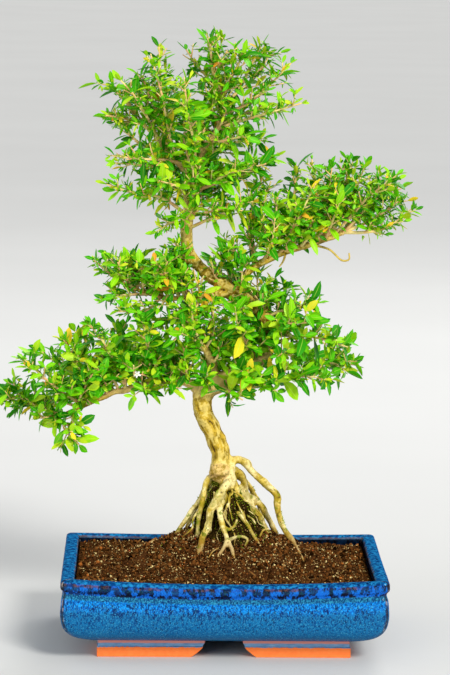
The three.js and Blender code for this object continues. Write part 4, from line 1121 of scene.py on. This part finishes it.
def moss_seeds():
    """Where moss grows: patches on the clinging soil, on top of the lower roots and on the
    soil close to them, each kept where a noise is high."""
    patch = uneven(cling_points, 7, 80) > -0.1
    on_cling, away = cling_points[patch], unit((cling_points[patch] - CLING_MIDDLE) * [1, 1, 0]) + UP * 0.5
    low = (wood_raised[:, 2] < 120) & (wood_normals[:, 2] > 0.25) & (uneven(wood_raised, 6, 81) > 0.42)
    on_root, root_out = wood_raised[low][::3], wood_normals[low][::3]
    spot = draws.normal(0, 1, (MOSS_TRIES, 2)) * [17, 13] + [1, 0]
    on_soil = np.stack([spot[:, 0], spot[:, 1], crumbled(spot[:, 0], spot[:, 1])], axis=-1)
    on_soil = on_soil[uneven(on_soil, 8, 82) > 0.28]
    seeds = np.concatenate([on_cling, on_root, on_soil])
    return seeds, np.concatenate([away, root_out + UP * 0.4, UP + 0 * on_soil])


def moss_green():
    """Deep to bright green by each sprig's own draw."""
    moss = Finish("moss_green", roughness=0.9, specular_ior_level=0.2)
    tint, _, _ = moss.parts("tint")
    hue = moss.mix(moss.clouds(moss.place(), 6, 2), shade(84, 118, 8), shade(160, 188, 22))
    moss.drive(base_color=moss.mix(tint * 0.6, hue, shade(186, 194, 40)))
    return moss


moss_points, moss_faces, moss_tint = moss_sprigs(*moss_seeds())
add_piece("moss", mesh_of("moss", moss_points, moss_faces), moss_green(), ["soil"],
          values={"tint": moss_tint})

# %% [markdown]
# ## Leafy shoots
# Each shoot's route is chosen so that its tip ends where one does in the picture.
# Finer side twigs leave it at every few millimetres, each turned by the golden angle from
# the last, and each twig bears leaves in opposite pairs, every pair square to the next,
# as on most plants of the coffee family.

# %% Routes of the shoots
SHOOTS = {
    "crown": [
        [[-11, -4, 441], [-13, -6, 454], [-14, -6, 468]],
        [[-4, -5, 419], [8, 8, 427], [21, 16, 438], [34, 22, 457]],
        [[-3, -5, 423], [-12, 10, 434], [-23, 20, 446], [-31, 24, 457]],
        [[-9, -5, 399], [8, -16, 406], [29, -26, 413], [54, -30, 421]],
        [[-5, -5, 410], [14, -12, 419], [32, -10, 434], [47, -4, 449]],
        [[-74, 16, 414], [-84, 18, 424], [-92, 20, 431]],
        [[-63, 14, 402], [-79, 4, 406], [-92, -6, 409]],
        [[-38, 4, 374], [-45, -10, 397], [-50, -20, 424], [-59, -22, 456]],
        [[-52, 9, 387], [-61, -8, 407], [-72, -18, 426], [-81, -22, 436]],
        [[-26, 0, 368], [-42, -10, 375], [-62, -20, 377], [-88, -26, 380]],
        [[-30, 0, 333], [-51, -10, 347], [-73, -14, 351], [-91, -18, 357]],
        [[-30, 0, 324], [-41, -10, 328], [-52, -16, 322]],
        [[-27, 0, 350], [-20, 20, 364], [-16, 38, 383], [-20, 50, 410]],
        [[-27, 0, 344], [-16, -6, 356], [2, -16, 366], [28, -20, 374]],
        [[-27, 0, 355], [-42, 24, 365], [-59, 42, 378], [-80, 48, 393]],
        [[-20, -2, 377], [-4, 20, 383], [15, 34, 388], [28, 42, 387]],
        [[-24, 0, 368], [-26, -22, 390], [-31, -40, 414], [-34, -46, 440]],
        [[-14, -3, 389], [-3, -24, 392], [12, -38, 397]],
        [[-30, 0, 338], [-36, -20, 355], [-52, -36, 362]],
        [[-15, -3, 387], [-27, 24, 398], [-38, 42, 418], [-44, 46, 435]],
    ],
    "right": [
        [[90, -6, 320.6], [106, -8, 321], [123, -10, 325], [138, -12, 337]],
        [[72, -5, 314], [81, 2, 329], [85, 8, 347], [90, 10, 366]],
        [[81, -5, 317], [94, -16, 333], [107, -24, 349], [125, -28, 364]],
        [[85, -5, 318], [98, 14, 327], [115, 26, 338], [134, 32, 350]],
        [[60, -4, 310], [57, 14, 320], [53, 26, 336], [55, 32, 363]],
        [[46, -3, 304], [49, -16, 319], [55, -28, 335], [65, -34, 357]],
        [[22, -2, 293], [19, 4, 308], [25, 8, 328], [33, 10, 354]],
        [[77, -5, 315], [88, -8, 335], [99, -4, 353], [105, 0, 369]],
    ],
    "low_right": [
        [[30, 6, 252], [44, 0, 259], [57, -4, 263], [70, -6, 266]],
        [[33, 9, 240], [50, -6, 240], [69, -14, 240], [95, -18, 233]],
        [[33, 10, 230], [51, 24, 221], [76, 34, 214], [103, 40, 211]],
        [[1, 4, 203], [13, -8, 199], [32, -14, 203], [58, -18, 210], [84, -20, 208]],
        [[22, 4, 261], [39, 12, 267], [50, 16, 276]],
        [[33, 8, 246], [46, -18, 251], [66, -30, 254]],
        [[12, 8, 208], [11, 28, 218], [3, 44, 230], [-1, 50, 243]],
        [[20, 9, 214], [16, -14, 234], [9, -30, 251], [6, -36, 267]],
        [[-6, 3, 201], [6, -14, 196], [14, -24, 192]],
        [[33, 9, 236], [29, 30, 246], [22, 46, 260]],
    ],
    "low_left": [
        [[-126, -9, 177.2], [-140, -6, 181], [-154, -3, 189], [-165, -1, 199]],
        [[-112, -8, 183], [-131, 6, 186], [-145, 14, 182], [-158, 16, 181]],
        [[-123, -9, 178.4], [-124, -14, 168], [-115, -15, 158]],
        [[-91, -6, 193], [-98, 6, 206], [-108, 12, 221], [-115, 14, 236]],
        [[-77, -5, 197], [-82, -16, 214], [-92, -26, 234], [-102, -30, 248]],
        [[-104, -7, 186], [-118, -20, 192], [-133, -32, 205], [-151, -38, 222]],
        [[-98, -6, 190], [-111, 16, 198], [-127, 30, 209], [-140, 36, 218]],
        [[-56, -4, 201], [-58, -18, 220], [-61, -28, 237], [-63, -32, 252]],
        [[-66, -4, 199], [-70, 18, 207], [-80, 30, 223], [-84, 36, 238]],
        [[-41, -3, 204], [-38, 18, 209], [-41, 34, 223]],
    ],
    "mid_left": [
        [[-83, -8, 282.5], [-91, -9, 289], [-98, -10, 295]],
        [[-35, -8, 269], [-43, -20, 283], [-53, -30, 298]],
        [[-18, -5, 270], [-28, -22, 255], [-38, -36, 242]],
        [[-55, -9, 271], [-62, 6, 281], [-74, 14, 293]],
        [[-26, -7, 269.5], [-34, 16, 279], [-40, 30, 299]],
        [[-50, -9, 270], [-61, -20, 261], [-80, -28, 261]],
        [[-12, -3, 271], [-32, 18, 255], [-50, 32, 242], [-60, 36, 238]],
        [[-18, -13, 233], [-25, -24, 249], [-26, -34, 266]],
    ],
}
# Of each pad: the size of its leaves, their width over their length, how far they face
# away from the middle of the pad instead of up, the pitch of its side twigs, how far its
# shoots reach on past the tips of the solids, and the share of its seats that bear leaves.
PADS = {
    "crown": (0.92, 0.33, 0.45, 4.3, 1.5, 0.64),
    "right": (0.78, 0.37, 0.55, 3.8, 4.5, 0.84),
    "low_right": (1.06, 0.39, 0.75, 4.7, -1.0, 0.78),
    "low_left": (0.94, 0.41, 0.65, 3.8, 4.0, 0.86),
    "mid_left": (0.84, 0.38, 0.6, 3.4, 3.0, 0.86),
}
# Of pairs: their number on a side twig, the first one's distance from the tip, and the
# distance between two, on a side twig and on a shoot. No leaf is more than LARGEST of its
# pad's size.
TWIG_PAIRS, TWIG_FIRST, TWIG_PITCH, TWIG_CUTS, LARGEST = 3, 0.2, 3.2, 5, 1.4
SHOOT_FIRST, SHOOT_PITCH, SHOOT_LEAF, SHOOT_PER_PAIR = 0.3, 5.5, 1.2, 9
SHOOT_THICK, SHOOT_THIN, TWIG_THICK, TWIG_THIN = 1.5, 0.55, 0.62, 0.36
print("shoots of the solids", {pad: len(routes) for pad, routes in SHOOTS.items()})


# %% Twigs and where their leaves sit
def square_to(axis):
    """Two directions square to each axis and to each other."""
    across = np.cross(axis, UP)
    across = unit(np.where(np.linalg.norm(across, axis=-1, keepdims=True) < 0.1, [1.0, 0, 0], across))
    return across, np.cross(axis, across)


def side_twigs(line, scale, pitch):
    """Side twigs of a shoot: they leave it at an even pitch, turned by the golden angle,
    lean forward, and curve up as the square of the distance along them."""
    run = np.concatenate([[0], np.cumsum(np.linalg.norm(np.diff(line, axis=0), axis=1))])
    starts = np.arange(0.24 * run[-1], 0.92 * run[-1], pitch)
    share = starts / run[-1]
    index = np.searchsorted(run, starts)
    axis = unit(np.gradient(line, axis=0))[index]
    across, other = square_to(axis)
    turn = (np.arange(len(starts)) * GOLDEN_ANGLE + draws.uniform(0, 6, 1))[:, None]
    out = across * np.cos(turn) + other * np.sin(turn)
    lean = draws.uniform(0.45, 1.0, (len(starts), 1))
    direction = unit(axis * lean + out * [1, 1, 0.7] + UP * 0.25)
    reach = scale * (17 - 9 * share) * draws.uniform(0.5, 1.25, len(starts))
    s = np.linspace(0, 1, TWIG_CUTS)[None, :, None]
    lift = draws.uniform(0.02, 0.2, (len(starts), 1, 1))
    curve = line[index][:, None] + direction[:, None] * reach[:, None, None] * s
    return curve + UP * lift * reach[:, None, None] * s**2, reach


def pair_seats(curves, reach, pairs, first, pitch, scale, full):
    """Seats of opposite pairs on curves (m, n, 3): root, axis, side, size and spread of each.

    Pair k sits first + k pitches back from the tip, a quarter turn from the pair before.
    Leaves grow larger and spread wider from the tip back, and full is the share kept."""
    many, cuts = curves.shape[:2]
    back = first + pitch * np.arange(pairs)[None] + draws.uniform(-0.5, 0.5, (many, pairs))
    share = 1 - back / reach[:, None]
    kept = (share > 0.12) & (draws.random(share.shape) < full)
    spot = np.clip(share, 0, 1) * (cuts - 1)
    low = np.minimum(spot.astype(int), cuts - 2)
    part = (spot - low)[..., None]
    rows = np.arange(many)[:, None]
    root = curves[rows, low] * (1 - part) + curves[rows, low + 1] * part
    axis = unit(curves[rows, low + 1] - curves[rows, low])
    across, other = square_to(axis)
    turn = (np.arange(pairs)[None] * np.pi / 2 + draws.uniform(-0.35, 0.35, (many, pairs)))[..., None]
    side = across * np.cos(turn) + other * np.sin(turn)
    order = np.minimum(np.arange(pairs), 3)[None] + 0 * share
    seats = []
    for sign in (1, -1):
        size = scale * (0.72 + 0.1 * order) * np.exp(draws.normal(0, 0.27, share.shape))
        size = np.minimum(size, LARGEST * scale)
        spread = 0.7 + 0.2 * order + draws.uniform(-0.3, 0.25, share.shape)
        seats.append([part[kept] for part in (root, axis, sign * side, size, spread)])
    return [np.concatenate(group) for group in zip(*seats)]


print("square to a level twig:", *[way[0].round(1) for way in square_to(np.array([[1.0, 0, 0]]))])

# %% [markdown]
# ### One leaf, thousands of times
# A serissa leaf is a small leathery ellipse, pointed at both ends and folded a little along
# its sunken midrib. Its blade is a table of 18 points: where along the leaf, how far
# across, and which face; the small leaves on the spurs have a table of ten. All leaves of
# a pad are that table times arrays of directions, so thousands take no loop at all. A
# particle system would scatter copies, but it couldn't seat them in opposite pairs.

# %% The leaf blade
LEAF_LENGTH, LEAF_THICK = 12.2, 0.22
FULL_BLADE = [(0.1, 0.36), (0.33, 0.84), (0.6, 1.0), (0.84, 0.62)]
SMALL_BLADE = [(0.3, 0.85), (0.72, 0.9)]
BLADE_RING = np.array([-1, 0, 1, 0])


def blade_table(rings):
    """For rings of (share of the length, share of the width): each point's place along and
    across the blade, whether it is underneath, and the faces between the rings."""
    count, n = len(rings), len(BLADE_RING)
    along = np.concatenate([np.repeat([u for u, _ in rings], n), [0, 1]])
    across = np.concatenate([w * BLADE_RING for _, w in rings] + [[0, 0]])
    under = np.concatenate([np.tile([0, 0, 0, 1], count), [0.5, 0]])
    a, b = np.arange(n), (np.arange(n) + 1) % n
    quads = [np.stack([a, b, n + b, n + a], axis=-1) + n * k for k in range(count - 1)]
    last = n * (count - 1)
    ends = [np.stack([np.full(n, n * count), b, a], axis=-1),
            np.stack([np.full(n, n * count + 1), last + a, last + b], axis=-1)]
    return along, across, under, np.concatenate(quads), np.concatenate(ends)


def blades(rings, middle, slim, outwards, root, axis, side, size, spread):
    """Leaves that leave their twig at a spread from its axis, and turn a face up and
    outwards from the middle of their pad. Slim is their width over their length.

    Across the blade the surface rises from its midrib; along it, it droops as a square."""
    u, v, under, quads, ends = blade_table(rings)
    count = len(root)
    along = unit(axis * np.cos(spread)[:, None] + side * np.sin(spread)[:, None])
    away = unit((root - middle) * [0.8, 1.6, 0.7])
    light = unit(away * outwards + UP * 0.6 + axis * 0.25 + draws.normal(0, 0.36, (count, 3)))
    across = unit(np.cross(along, light))
    upper = np.cross(across, along)
    length = LEAF_LENGTH * size * draws.uniform(0.88, 1.12, count)
    half = LEAF_LENGTH * slim * size / 2 * draws.uniform(0.8, 1.2, count)
    fold = draws.uniform(0.12, 0.42, count)
    droop = draws.uniform(-0.08, 0.3, count)
    wave = draws.uniform(-0.12, 0.12, count)
    rise = half[:, None] * fold[:, None] * np.abs(v) ** 1.3 - droop[:, None] * length[:, None] * u * u
    rise = rise - LEAF_THICK * under
    drift = wave[:, None] * length[:, None] * u * u
    points = root[:, None] + along[:, None] * (u * length[:, None])[..., None]
    points = points + across[:, None] * (v * half[:, None] + drift)[..., None]
    points = points + upper[:, None] * rise[..., None]
    offset = (np.arange(count) * len(u))[:, None, None]
    faces = [(quads[None] + offset).reshape(-1, 4), (ends[None] + offset).reshape(-1, 3)]
    tint = np.repeat(draws.random(count) ** np.clip(0.35 + 0.7 * size, 0.5, 1.1), len(u))
    values = np.stack([tint, np.tile(u, count), np.tile(v, count)], axis=-1)
    return points.reshape(-1, 3), faces, values


for rings in (FULL_BLADE, SMALL_BLADE):
    along, _, _, quads, ends = blade_table(rings)
    print("blade points", len(along), "triangles", 2 * len(quads) + len(ends))

# %% [markdown]
# ### Leaf and twig finishes
# Young leaves at the tips are yellow-green and older ones deep green. A pale midrib runs
# along each, the surface has a waxy gloss, and here and there one has turned yellow or
# orange-brown. The twigs are straw to pink-tan.


# %% Leaf and twig finishes
def green_leaf():
    """Colour by each leaf's own draw, paler at the midrib and towards the root."""
    leaf = Finish("green_leaf", specular_ior_level=0.14)
    tint, along, across = leaf.parts("blade")
    wide = leaf.node("ShaderNodeMath", {"operation": "ABSOLUTE"}, {0: across})
    stops = [(0.0, shade(24, 112, 4)), (0.2, shade(52, 160, 4)), (0.5, shade(106, 200, 4)),
             (0.72, shade(152, 216, 12)), (0.89, shade(186, 220, 32)), (0.965, shade(210, 218, 40)),
             (0.988, shade(250, 212, 40)), (1.0, shade(236, 140, 48))]
    colour = leaf.node("ShaderNodeValToRGB", {"stops": stops}, {"Fac": tint}, "Color")
    mottle = leaf.clouds(leaf.place(), 2.6, 2)
    colour = leaf.mix(mottle * 0.3, colour, shade(48, 150, 6))
    rib = leaf.step(wide, 0.12, 0.02) * leaf.step(along, 1.0, 0.7)
    colour = leaf.mix(rib * 0.45, colour, shade(196, 226, 84))
    colour = leaf.mix(leaf.step(along, 0.2, 0.0) * 0.5, colour, shade(206, 204, 70))
    leaf.drive(base_color=colour, roughness=mottle * 0.18 + 0.3)
    return leaf


def straw_twig():
    """Straw, pink-tan and green in patches along the twigs."""
    twig = Finish("straw_twig", specular_ior_level=0.3)
    where = twig.place()
    patch, green = twig.clouds(where, 9, 2), twig.clouds(where, 14, 2)
    colour = twig.mix(twig.step(patch, 0.4, 0.6), shade(254, 230, 150), shade(246, 194, 130))
    colour = twig.mix(twig.step(green, 0.54, 0.68) * 0.5, colour, shade(168, 176, 50))
    fine = twig.clouds(where, 0.8, 3)
    colour = twig.mix(fine * 0.25, colour, shade(140, 100, 40))
    twig.drive(base_color=colour, roughness=fine * 0.2 + 0.5, normal=twig.bump(fine, 0.5, 0.2))
    return twig


leaf_finish, twig_finish = green_leaf(), straw_twig()
print("shader nodes: leaf", len(leaf_finish.tree.nodes), "twig", len(twig_finish.tree.nodes))


# %% [markdown]
# ### Shoots that fill out the pads
# The solids hold only as many shoots as their faces allow, and real pads are denser. Where a
# limb shows between two shoots, a rule sets short ones along it. Where the picture shows a
# tuft of its own, a shoot is listed. Drawing them all by rule would be shorter, but
# the pads' outlines would no longer be the photograph's.

# %% Shoots that fill out the limbs
# Each row: the pad, the limb, where on it the shoots begin and end, their pitch and reach.
FILL = [
    ("crown", BRANCHES[0], 0.0, 0.9, 7.0, 28), ("crown", BRANCHES[1], 0.15, 1.0, 8.0, 30),
    ("crown", TRUNK[-4:], 0.0, 1.0, 5.0, 38), ("right", BRANCHES[2][3:], 0.04, 0.92, 4.0, 48),
    ("low_right", TRUNK[6:16], 0.04, 1.0, 7.5, 25), ("low_left", BRANCHES[3], 0.1, 0.9, 5.0, 36),
    ("mid_left", BRANCHES[4], 0.28, 0.95, 4.0, 30), ("mid_left", BRANCHES[5], 0.2, 1.0, 5.0, 26),
]
EXTRA = {
    "crown": [
        [[-40, 6, 376], [-46, 0, 400], [-51, -4, 430], [-53, -6, 462]],
        [[-27, 0, 350], [-8, -8, 358], [14, -10, 366], [37, -8, 380]],
        [[-29, 0, 322], [-12, -8, 331], [8, -12, 340], [22, -12, 350]],
        [[-30, 0, 331], [-14, -12, 336], [0, -16, 340], [12, -20, 338]],
        [[-64, 14, 402], [-78, 10, 403], [-93, 4, 406]], [[-40, 6, 366], [-62, 4, 370], [-86, 2, 372]],
        [[-45, 2, 398], [-58, -4, 419], [-66, -6, 440]],
        [[-5, -5, 424], [3, -8, 440], [9, -8, 452], [12, -8, 462]],
        [[-10, -4, 440], [-5, -10, 452], [-1, -12, 460]],
        [[12, 8, 434], [18, 8, 448], [25, 4, 462]],
        [[-26, 0, 345], [-8, 6, 352], [4, 10, 362], [8, 12, 371]],
        [[-30, 0, 324], [-31, -10, 330], [-27, -16, 337]], [[-30, 0, 332], [-48, 12, 345], [-64, 18, 362]],
        [[-5, -5, 404], [10, 6, 410], [27, 8, 414]], [[-7, -5, 404], [-14, -12, 420], [-18, -14, 435]],
        [[-11, -4, 441], [-10, -6, 456], [-9, -6, 472]],
    ],
    "right": [
        [[20, -2, 291], [10, -5, 302], [1, -6, 312]],
        [[22, -2, 293], [18, 4, 315], [20, 8, 340], [30, 10, 366]],
        [[72, -5, 314], [72, 8, 334], [70, 14, 352], [66, 16, 375]],
        [[30, -3, 298], [36, -8, 320], [39, -10, 348]],
        [[88, -6, 319], [104, 2, 332], [118, 6, 348], [130, 4, 362]],
        [[78, -5, 316], [86, 4, 340], [92, 6, 358], [97, 6, 374]],
        [[70, -5, 313], [76, -12, 336], [80, -14, 371]], [[89, -6, 319], [106, -8, 340], [116, -10, 369]],
        [[91, -6, 321], [114, -8, 332], [134, -8, 347]],
    ],
    "low_right": [
        [[5, 1, 273], [8, -12, 266], [14, -18, 258]], [[76, 34, 214], [90, 28, 214], [99, 20, 217]],
        [[40, 0, 226], [44, -14, 228], [46, -22, 230]], [[10, 6, 206], [16, -14, 210], [18, -24, 214]],
    ],
    "low_left": [
        [[-118, -8, 181], [-118, -16, 176], [-116, -20, 171]],
        [[-66, -4, 199], [-64, -14, 198], [-60, -20, 197]],
        [[-46, -4, 203], [-46, -14, 202], [-42, -20, 200]],
        [[-12, 0, 200], [-16, -14, 205], [-18, -20, 209]],
        [[-98, -6, 190], [-106, -14, 208], [-118, -18, 226], [-124, -20, 238]],
        [[-148, -4, 186], [-160, -8, 190], [-170, -10, 189]],
        [[-126, -9, 177], [-135, -14, 176], [-143, -16, 177]],
    ],
    "mid_left": [
        [[-60, -9, 272], [-76, -14, 272], [-90, -16, 271]], [[-28, 0, 296], [-34, -8, 304], [-40, -12, 312]],
        [[-45, -8, 270], [-48, -18, 267], [-52, -22, 263]], [[-10, -3, 273], [-10, -14, 262], [-9, -20, 252]],
    ],
}
print("shoots added by hand", {pad: len(routes) for pad, routes in EXTRA.items()})


def fill_shoots(route, begin, end, pitch, reach):
    """Short shoots at an even pitch along part of a limb, each turned by the golden angle
    and bent upwards, so that a pad is as full behind as it is in front."""
    line, _ = smooth_line(route, 1.0)
    index = np.arange(begin * (len(line) - 1), end * (len(line) - 1), pitch).astype(int)
    axis = unit(np.gradient(line, axis=0))[index]
    across, other = square_to(axis)
    turn = (np.arange(len(index)) * GOLDEN_ANGLE + draws.uniform(0, 6))[:, None]
    out = across * np.cos(turn) + other * np.sin(turn)
    direction = unit(out * [1, 1, 0.35] + axis * 0.25 + UP * 0.85)
    length = reach * draws.uniform(0.65, 1.15, (len(index), 1))
    middle = line[index] + direction * length * 0.5
    tip = middle + unit(direction + UP * 0.5 + draws.normal(0, 0.25, direction.shape)) * length * 0.5
    return list(np.stack([line[index], middle, tip], axis=1))


def tuft_seats(curves, tufts, leaves, scale):
    """Seats of the small leaves that crowd on short spurs in the older twigs' leaf axils:
    each curve has so many tufts at random stations, and each tuft so many leaves."""
    many, cuts = curves.shape[:2]
    at = draws.integers(0, cuts, (many, tufts))
    spur = unit(draws.normal(size=(many, tufts, 3)) + UP * 0.4)
    root = curves[np.arange(many)[:, None], at] + spur * draws.uniform(0.3, 2.2, (many, tufts, 1))
    root, spur = [np.repeat(part.reshape(-1, 3), leaves, axis=0) for part in (root, spur)]
    side = unit(np.cross(spur, draws.normal(size=spur.shape)))
    size = scale * draws.uniform(0.3, 0.62, len(root))
    return [root, spur, side, size, draws.uniform(0.15, 1.1, len(root))]


# %% How one pad grows
def reached_on(route, growth):
    """A route whose tip is carried on by growth along its last stretch."""
    route = np.array(route, float)
    route[-1] += unit(route[-1] - route[-2]) * growth
    return route


def joined(seats):
    """Lists of seats put end to end."""
    return [np.concatenate(group) for group in zip(*seats)]


def grow_pad(routes, scale, pitch, full):
    """All twigs of one pad and the seats of its large leaves and of its small ones."""
    twigs, large, small = [], [], []
    for route in routes:
        line, _ = smooth_line([[*point, 1.0] for point in route], 1.0)
        line = line[::2] if len(line) % 2 else np.concatenate([line[:-1:2], line[-1:]])
        twigs.append(tubes(line[None], np.linspace(SHOOT_THICK, SHOOT_THIN, len(line))[None], 5))
        length = np.linalg.norm(np.diff(line, axis=0), axis=1).sum(keepdims=True)
        steps = int(length[0] / SHOOT_PER_PAIR)
        large.append(pair_seats(line[None], length, 2 + steps, SHOOT_FIRST, SHOOT_PITCH,
                                scale * SHOOT_LEAF, full))
        curves, reach = side_twigs(line, scale, pitch)
        thin = np.linspace(TWIG_THICK, TWIG_THIN, TWIG_CUTS)[None] + 0 * curves[..., 0]
        twigs.append(tubes(curves, thin, 4))
        large.append(pair_seats(curves, reach, TWIG_PAIRS, TWIG_FIRST, TWIG_PITCH, scale, full))
        small.append(tuft_seats(curves, 2, 3, scale))
        small.append(tuft_seats(line[None, len(line) // 4 : -len(line) // 4], steps, 5, scale))
    return gathered(twigs), joined(large), joined(small)


print("a route 4 mm longer ends at", reached_on(SHOOTS["right"][0], 4.0)[-1].round(1))

# %% [markdown]
# ### Leaves that would be in the way
# No leaf may grow inside a limb. Two things in the picture also stay in sight: the bend of
# the trunk above the middle of the tree, where most leaves in front of it are left out, and
# the one flower, which keeps a clear way to the eye and another to the key light.

# %% Leaves left out
WOOD_GAP, BEND, BEND_GAP, BEND_SHARE = 1.0, TRUNK[14:18], 1.0, 0.25
STALK_FOOT, STALK_TIP, FLOWER_ROOM = np.array([-67.0, -5, 200]), np.array([-68.0, -20, 211]), 6.0
TO_EYE, TO_LIGHT = unit(np.array([[0, -1, 0.14], [0.38, -0.7, 0.61]]))


def clear_of_wood(root, axis, side, size, spread):
    """The seats that stay: a leaf's middle is outside every limb, mostly not in front of the
    trunk's bend, and outside the two round ways that lead from the flower."""
    along = axis * np.cos(spread)[:, None] + side * np.sin(spread)[:, None]
    middle = root + along * (LEAF_LENGTH * size * 0.5)[:, None]
    station, radius, _, _ = nearest_on_limbs(middle)
    kept = np.linalg.norm(middle - station, axis=-1) > radius + WOOD_GAP
    bend, girth = smooth_line(BEND, 1.0)
    beside = np.min(np.linalg.norm(middle[:, None, [0, 2]] - bend[:, [0, 2]], axis=-1) - girth, axis=1)
    kept &= (beside > BEND_GAP) | (middle[:, 1] > 0) | (draws.random(len(middle)) < BEND_SHARE)
    for direction in (TO_EYE, TO_LIGHT):
        ahead = (middle - STALK_TIP) @ direction
        aside = np.linalg.norm(middle - STALK_TIP - ahead[:, None] * direction, axis=-1)
        kept &= (aside > FLOWER_ROOM) | (ahead < 0)
    return [part[kept] for part in (root, axis, side, size, spread)]


print("clear ways from the flower", TO_EYE.round(2), TO_LIGHT.round(2))

# %% Every pad, leaf by leaf
LEAF_SHARP = 50
leaf_total = 0
for region, routes in SHOOTS.items():
    nodes = [f"shoot_{region}_{k + 1:02d}" for k in range(len(routes))]
    filling = [shoot for place, *rule in FILL if place == region for shoot in fill_shoots(*rule)]
    scale, slim, outwards, pitch, growth, full = PADS[region]
    shoots = [reached_on(route, growth) for route in routes] + EXTRA[region] + filling
    (twig_points, twig_faces), large, small = grow_pad(shoots, scale, pitch, full)
    middle = large[0].mean(axis=0)
    for kind, rings, seats in [("leaves", FULL_BLADE, large), ("leaflets", SMALL_BLADE, small)]:
        seats = clear_of_wood(*seats)
        points, faces, values = blades(rings, middle, slim, outwards, *seats)
        name = f"{kind}_{region}"
        add_piece(name, mesh_of(name, points, faces), leaf_finish, nodes, sharp=LEAF_SHARP,
                  values={"blade": values})
        leaf_total += len(seats[0])
    add_piece(f"twigs_{region}", mesh_of(f"twigs_{region}", twig_points, twig_faces), twig_finish,
              nodes)
print("leaves", leaf_total)

# %% [markdown]
# ### A single flower
# One white star flower is open over the low left branch. Its five petals are the same
# blade as a leaf's, smaller and broader, set round a short stalk that leans forward, so that
# the flower faces the light.

# %% The flower
PETALS, PETAL_SIZE, PETAL_SPREAD, PETAL_SLIM, PETAL_OUTWARDS = 5, 0.29, 1.25, 0.55, 3.0


def white_petal():
    """White, faintly green towards the throat of the flower."""
    petal = Finish("white_petal", roughness=0.55, specular_ior_level=0.3)
    _, along, _ = petal.parts("blade")
    vein = petal.clouds(petal.place(), 0.8, 2) * 0.2
    colour = petal.mix(petal.step(along, 0.3, 0.02), shade(252, 252, 246), shade(206, 222, 130))
    petal.drive(base_color=petal.mix(vein, colour, shade(226, 230, 216)))
    return petal


facing = unit(STALK_TIP - STALK_FOOT + [0, -6, 0])
across, other = square_to(facing[None])
turn = (np.arange(PETALS) * 2 * np.pi / PETALS + 0.3)[:, None]
petal_sides = across * np.cos(turn) + other * np.sin(turn)
petals = [np.tile(STALK_TIP, (PETALS, 1)), np.tile(facing, (PETALS, 1)), petal_sides,
          np.full(PETALS, PETAL_SIZE), np.full(PETALS, PETAL_SPREAD)]
petal_points, petal_faces, petal_values = blades(FULL_BLADE, STALK_FOOT, PETAL_SLIM, PETAL_OUTWARDS, *petals)
stalk = [[*STALK_FOOT, 0.5], [*(STALK_FOOT + STALK_TIP) / 2, 0.45], [*STALK_TIP, 0.8]]
stalk_points, stalk_faces = tube(stalk, 0.8, 8)
flower_points, flower_faces = gathered([(petal_points, petal_faces), (stalk_points, stalk_faces)])
flower_values = np.concatenate([petal_values, 0 * stalk_points])
add_piece("flower_star", mesh_of("flower_star", flower_points, flower_faces), white_petal(),
          ["flower"], values={"blade": flower_values})

# %% [markdown]
# ## Floor and light
# A wide pale floor runs out of the picture on all sides. A soft sun from the front right is
# the key light, because its strength doesn't fall off across the tree. A large panel fills
# the shadows from the front left, and one above and behind catches the edges of the leaves.

# %% Floor
FLOOR_SIZE = 60.0


def pale_floor():
    """A pale matt sheet with the faintest mottle."""
    sheet = Finish("pale_floor", roughness=0.9)
    faint = sheet.clouds(sheet.place(), 400, 2)
    sheet.drive(base_color=sheet.mix(faint, shade(204, 204, 202), shade(212, 212, 210)))
    return sheet


half = FLOOR_SIZE / 2 / MM
floor_corners = np.array([[-half, -half, 0], [half, -half, 0], [half, half, 0], [-half, half, 0]])
floor = bpy.data.objects.new("studio_floor", mesh_of("studio_floor", floor_corners, [np.arange(4)[None]]))
floor.data.materials.append(pale_floor().material)
bpy.context.collection.objects.link(floor)
print("floor in metres", FLOOR_SIZE)

# %% Lights
TREE_MIDDLE = (0, 0, 0.24)
SKY_COLOUR, SKY_STRENGTH = (0.95, 0.97, 1.0, 1), 0.55


def place_light(kind, name, spot, power, colour, **settings):
    """A light at spot, in metres, that faces the middle of the tree."""
    light = bpy.data.lights.new(name, kind)
    light.energy, light.color = power, colour
    for key, value in settings.items():
        setattr(light, key, value)
    lamp = bpy.data.objects.new(name, light)
    aim = Vector(TREE_MIDDLE) - Vector(spot)
    lamp.matrix_world = Matrix.Translation(spot) @ aim.to_track_quat("-Z", "Y").to_matrix().to_4x4()
    bpy.context.collection.objects.link(lamp)
    print(name, "at", spot, "power", power)


place_light("SUN", "key_light", (1.3, -2.4, 2.1), 2.8, (1.0, 0.985, 0.95), angle=np.radians(16))
place_light("AREA", "fill_light", (-1.6, -2.4, 0.7), 26, (0.96, 0.98, 1.0), size=1.4)
place_light("AREA", "edge_light", (0.8, 1.7, 1.9), 22, (1.0, 1.0, 1.0), size=1.1)
world = bpy.data.worlds.new("studio")
world.use_nodes = True
sky = world.node_tree.nodes["Background"]
sky.inputs["Color"].default_value, sky.inputs["Strength"].default_value = SKY_COLOUR, SKY_STRENGTH
bpy.context.scene.world = world
bpy.context.scene.view_settings.view_transform = "Standard"
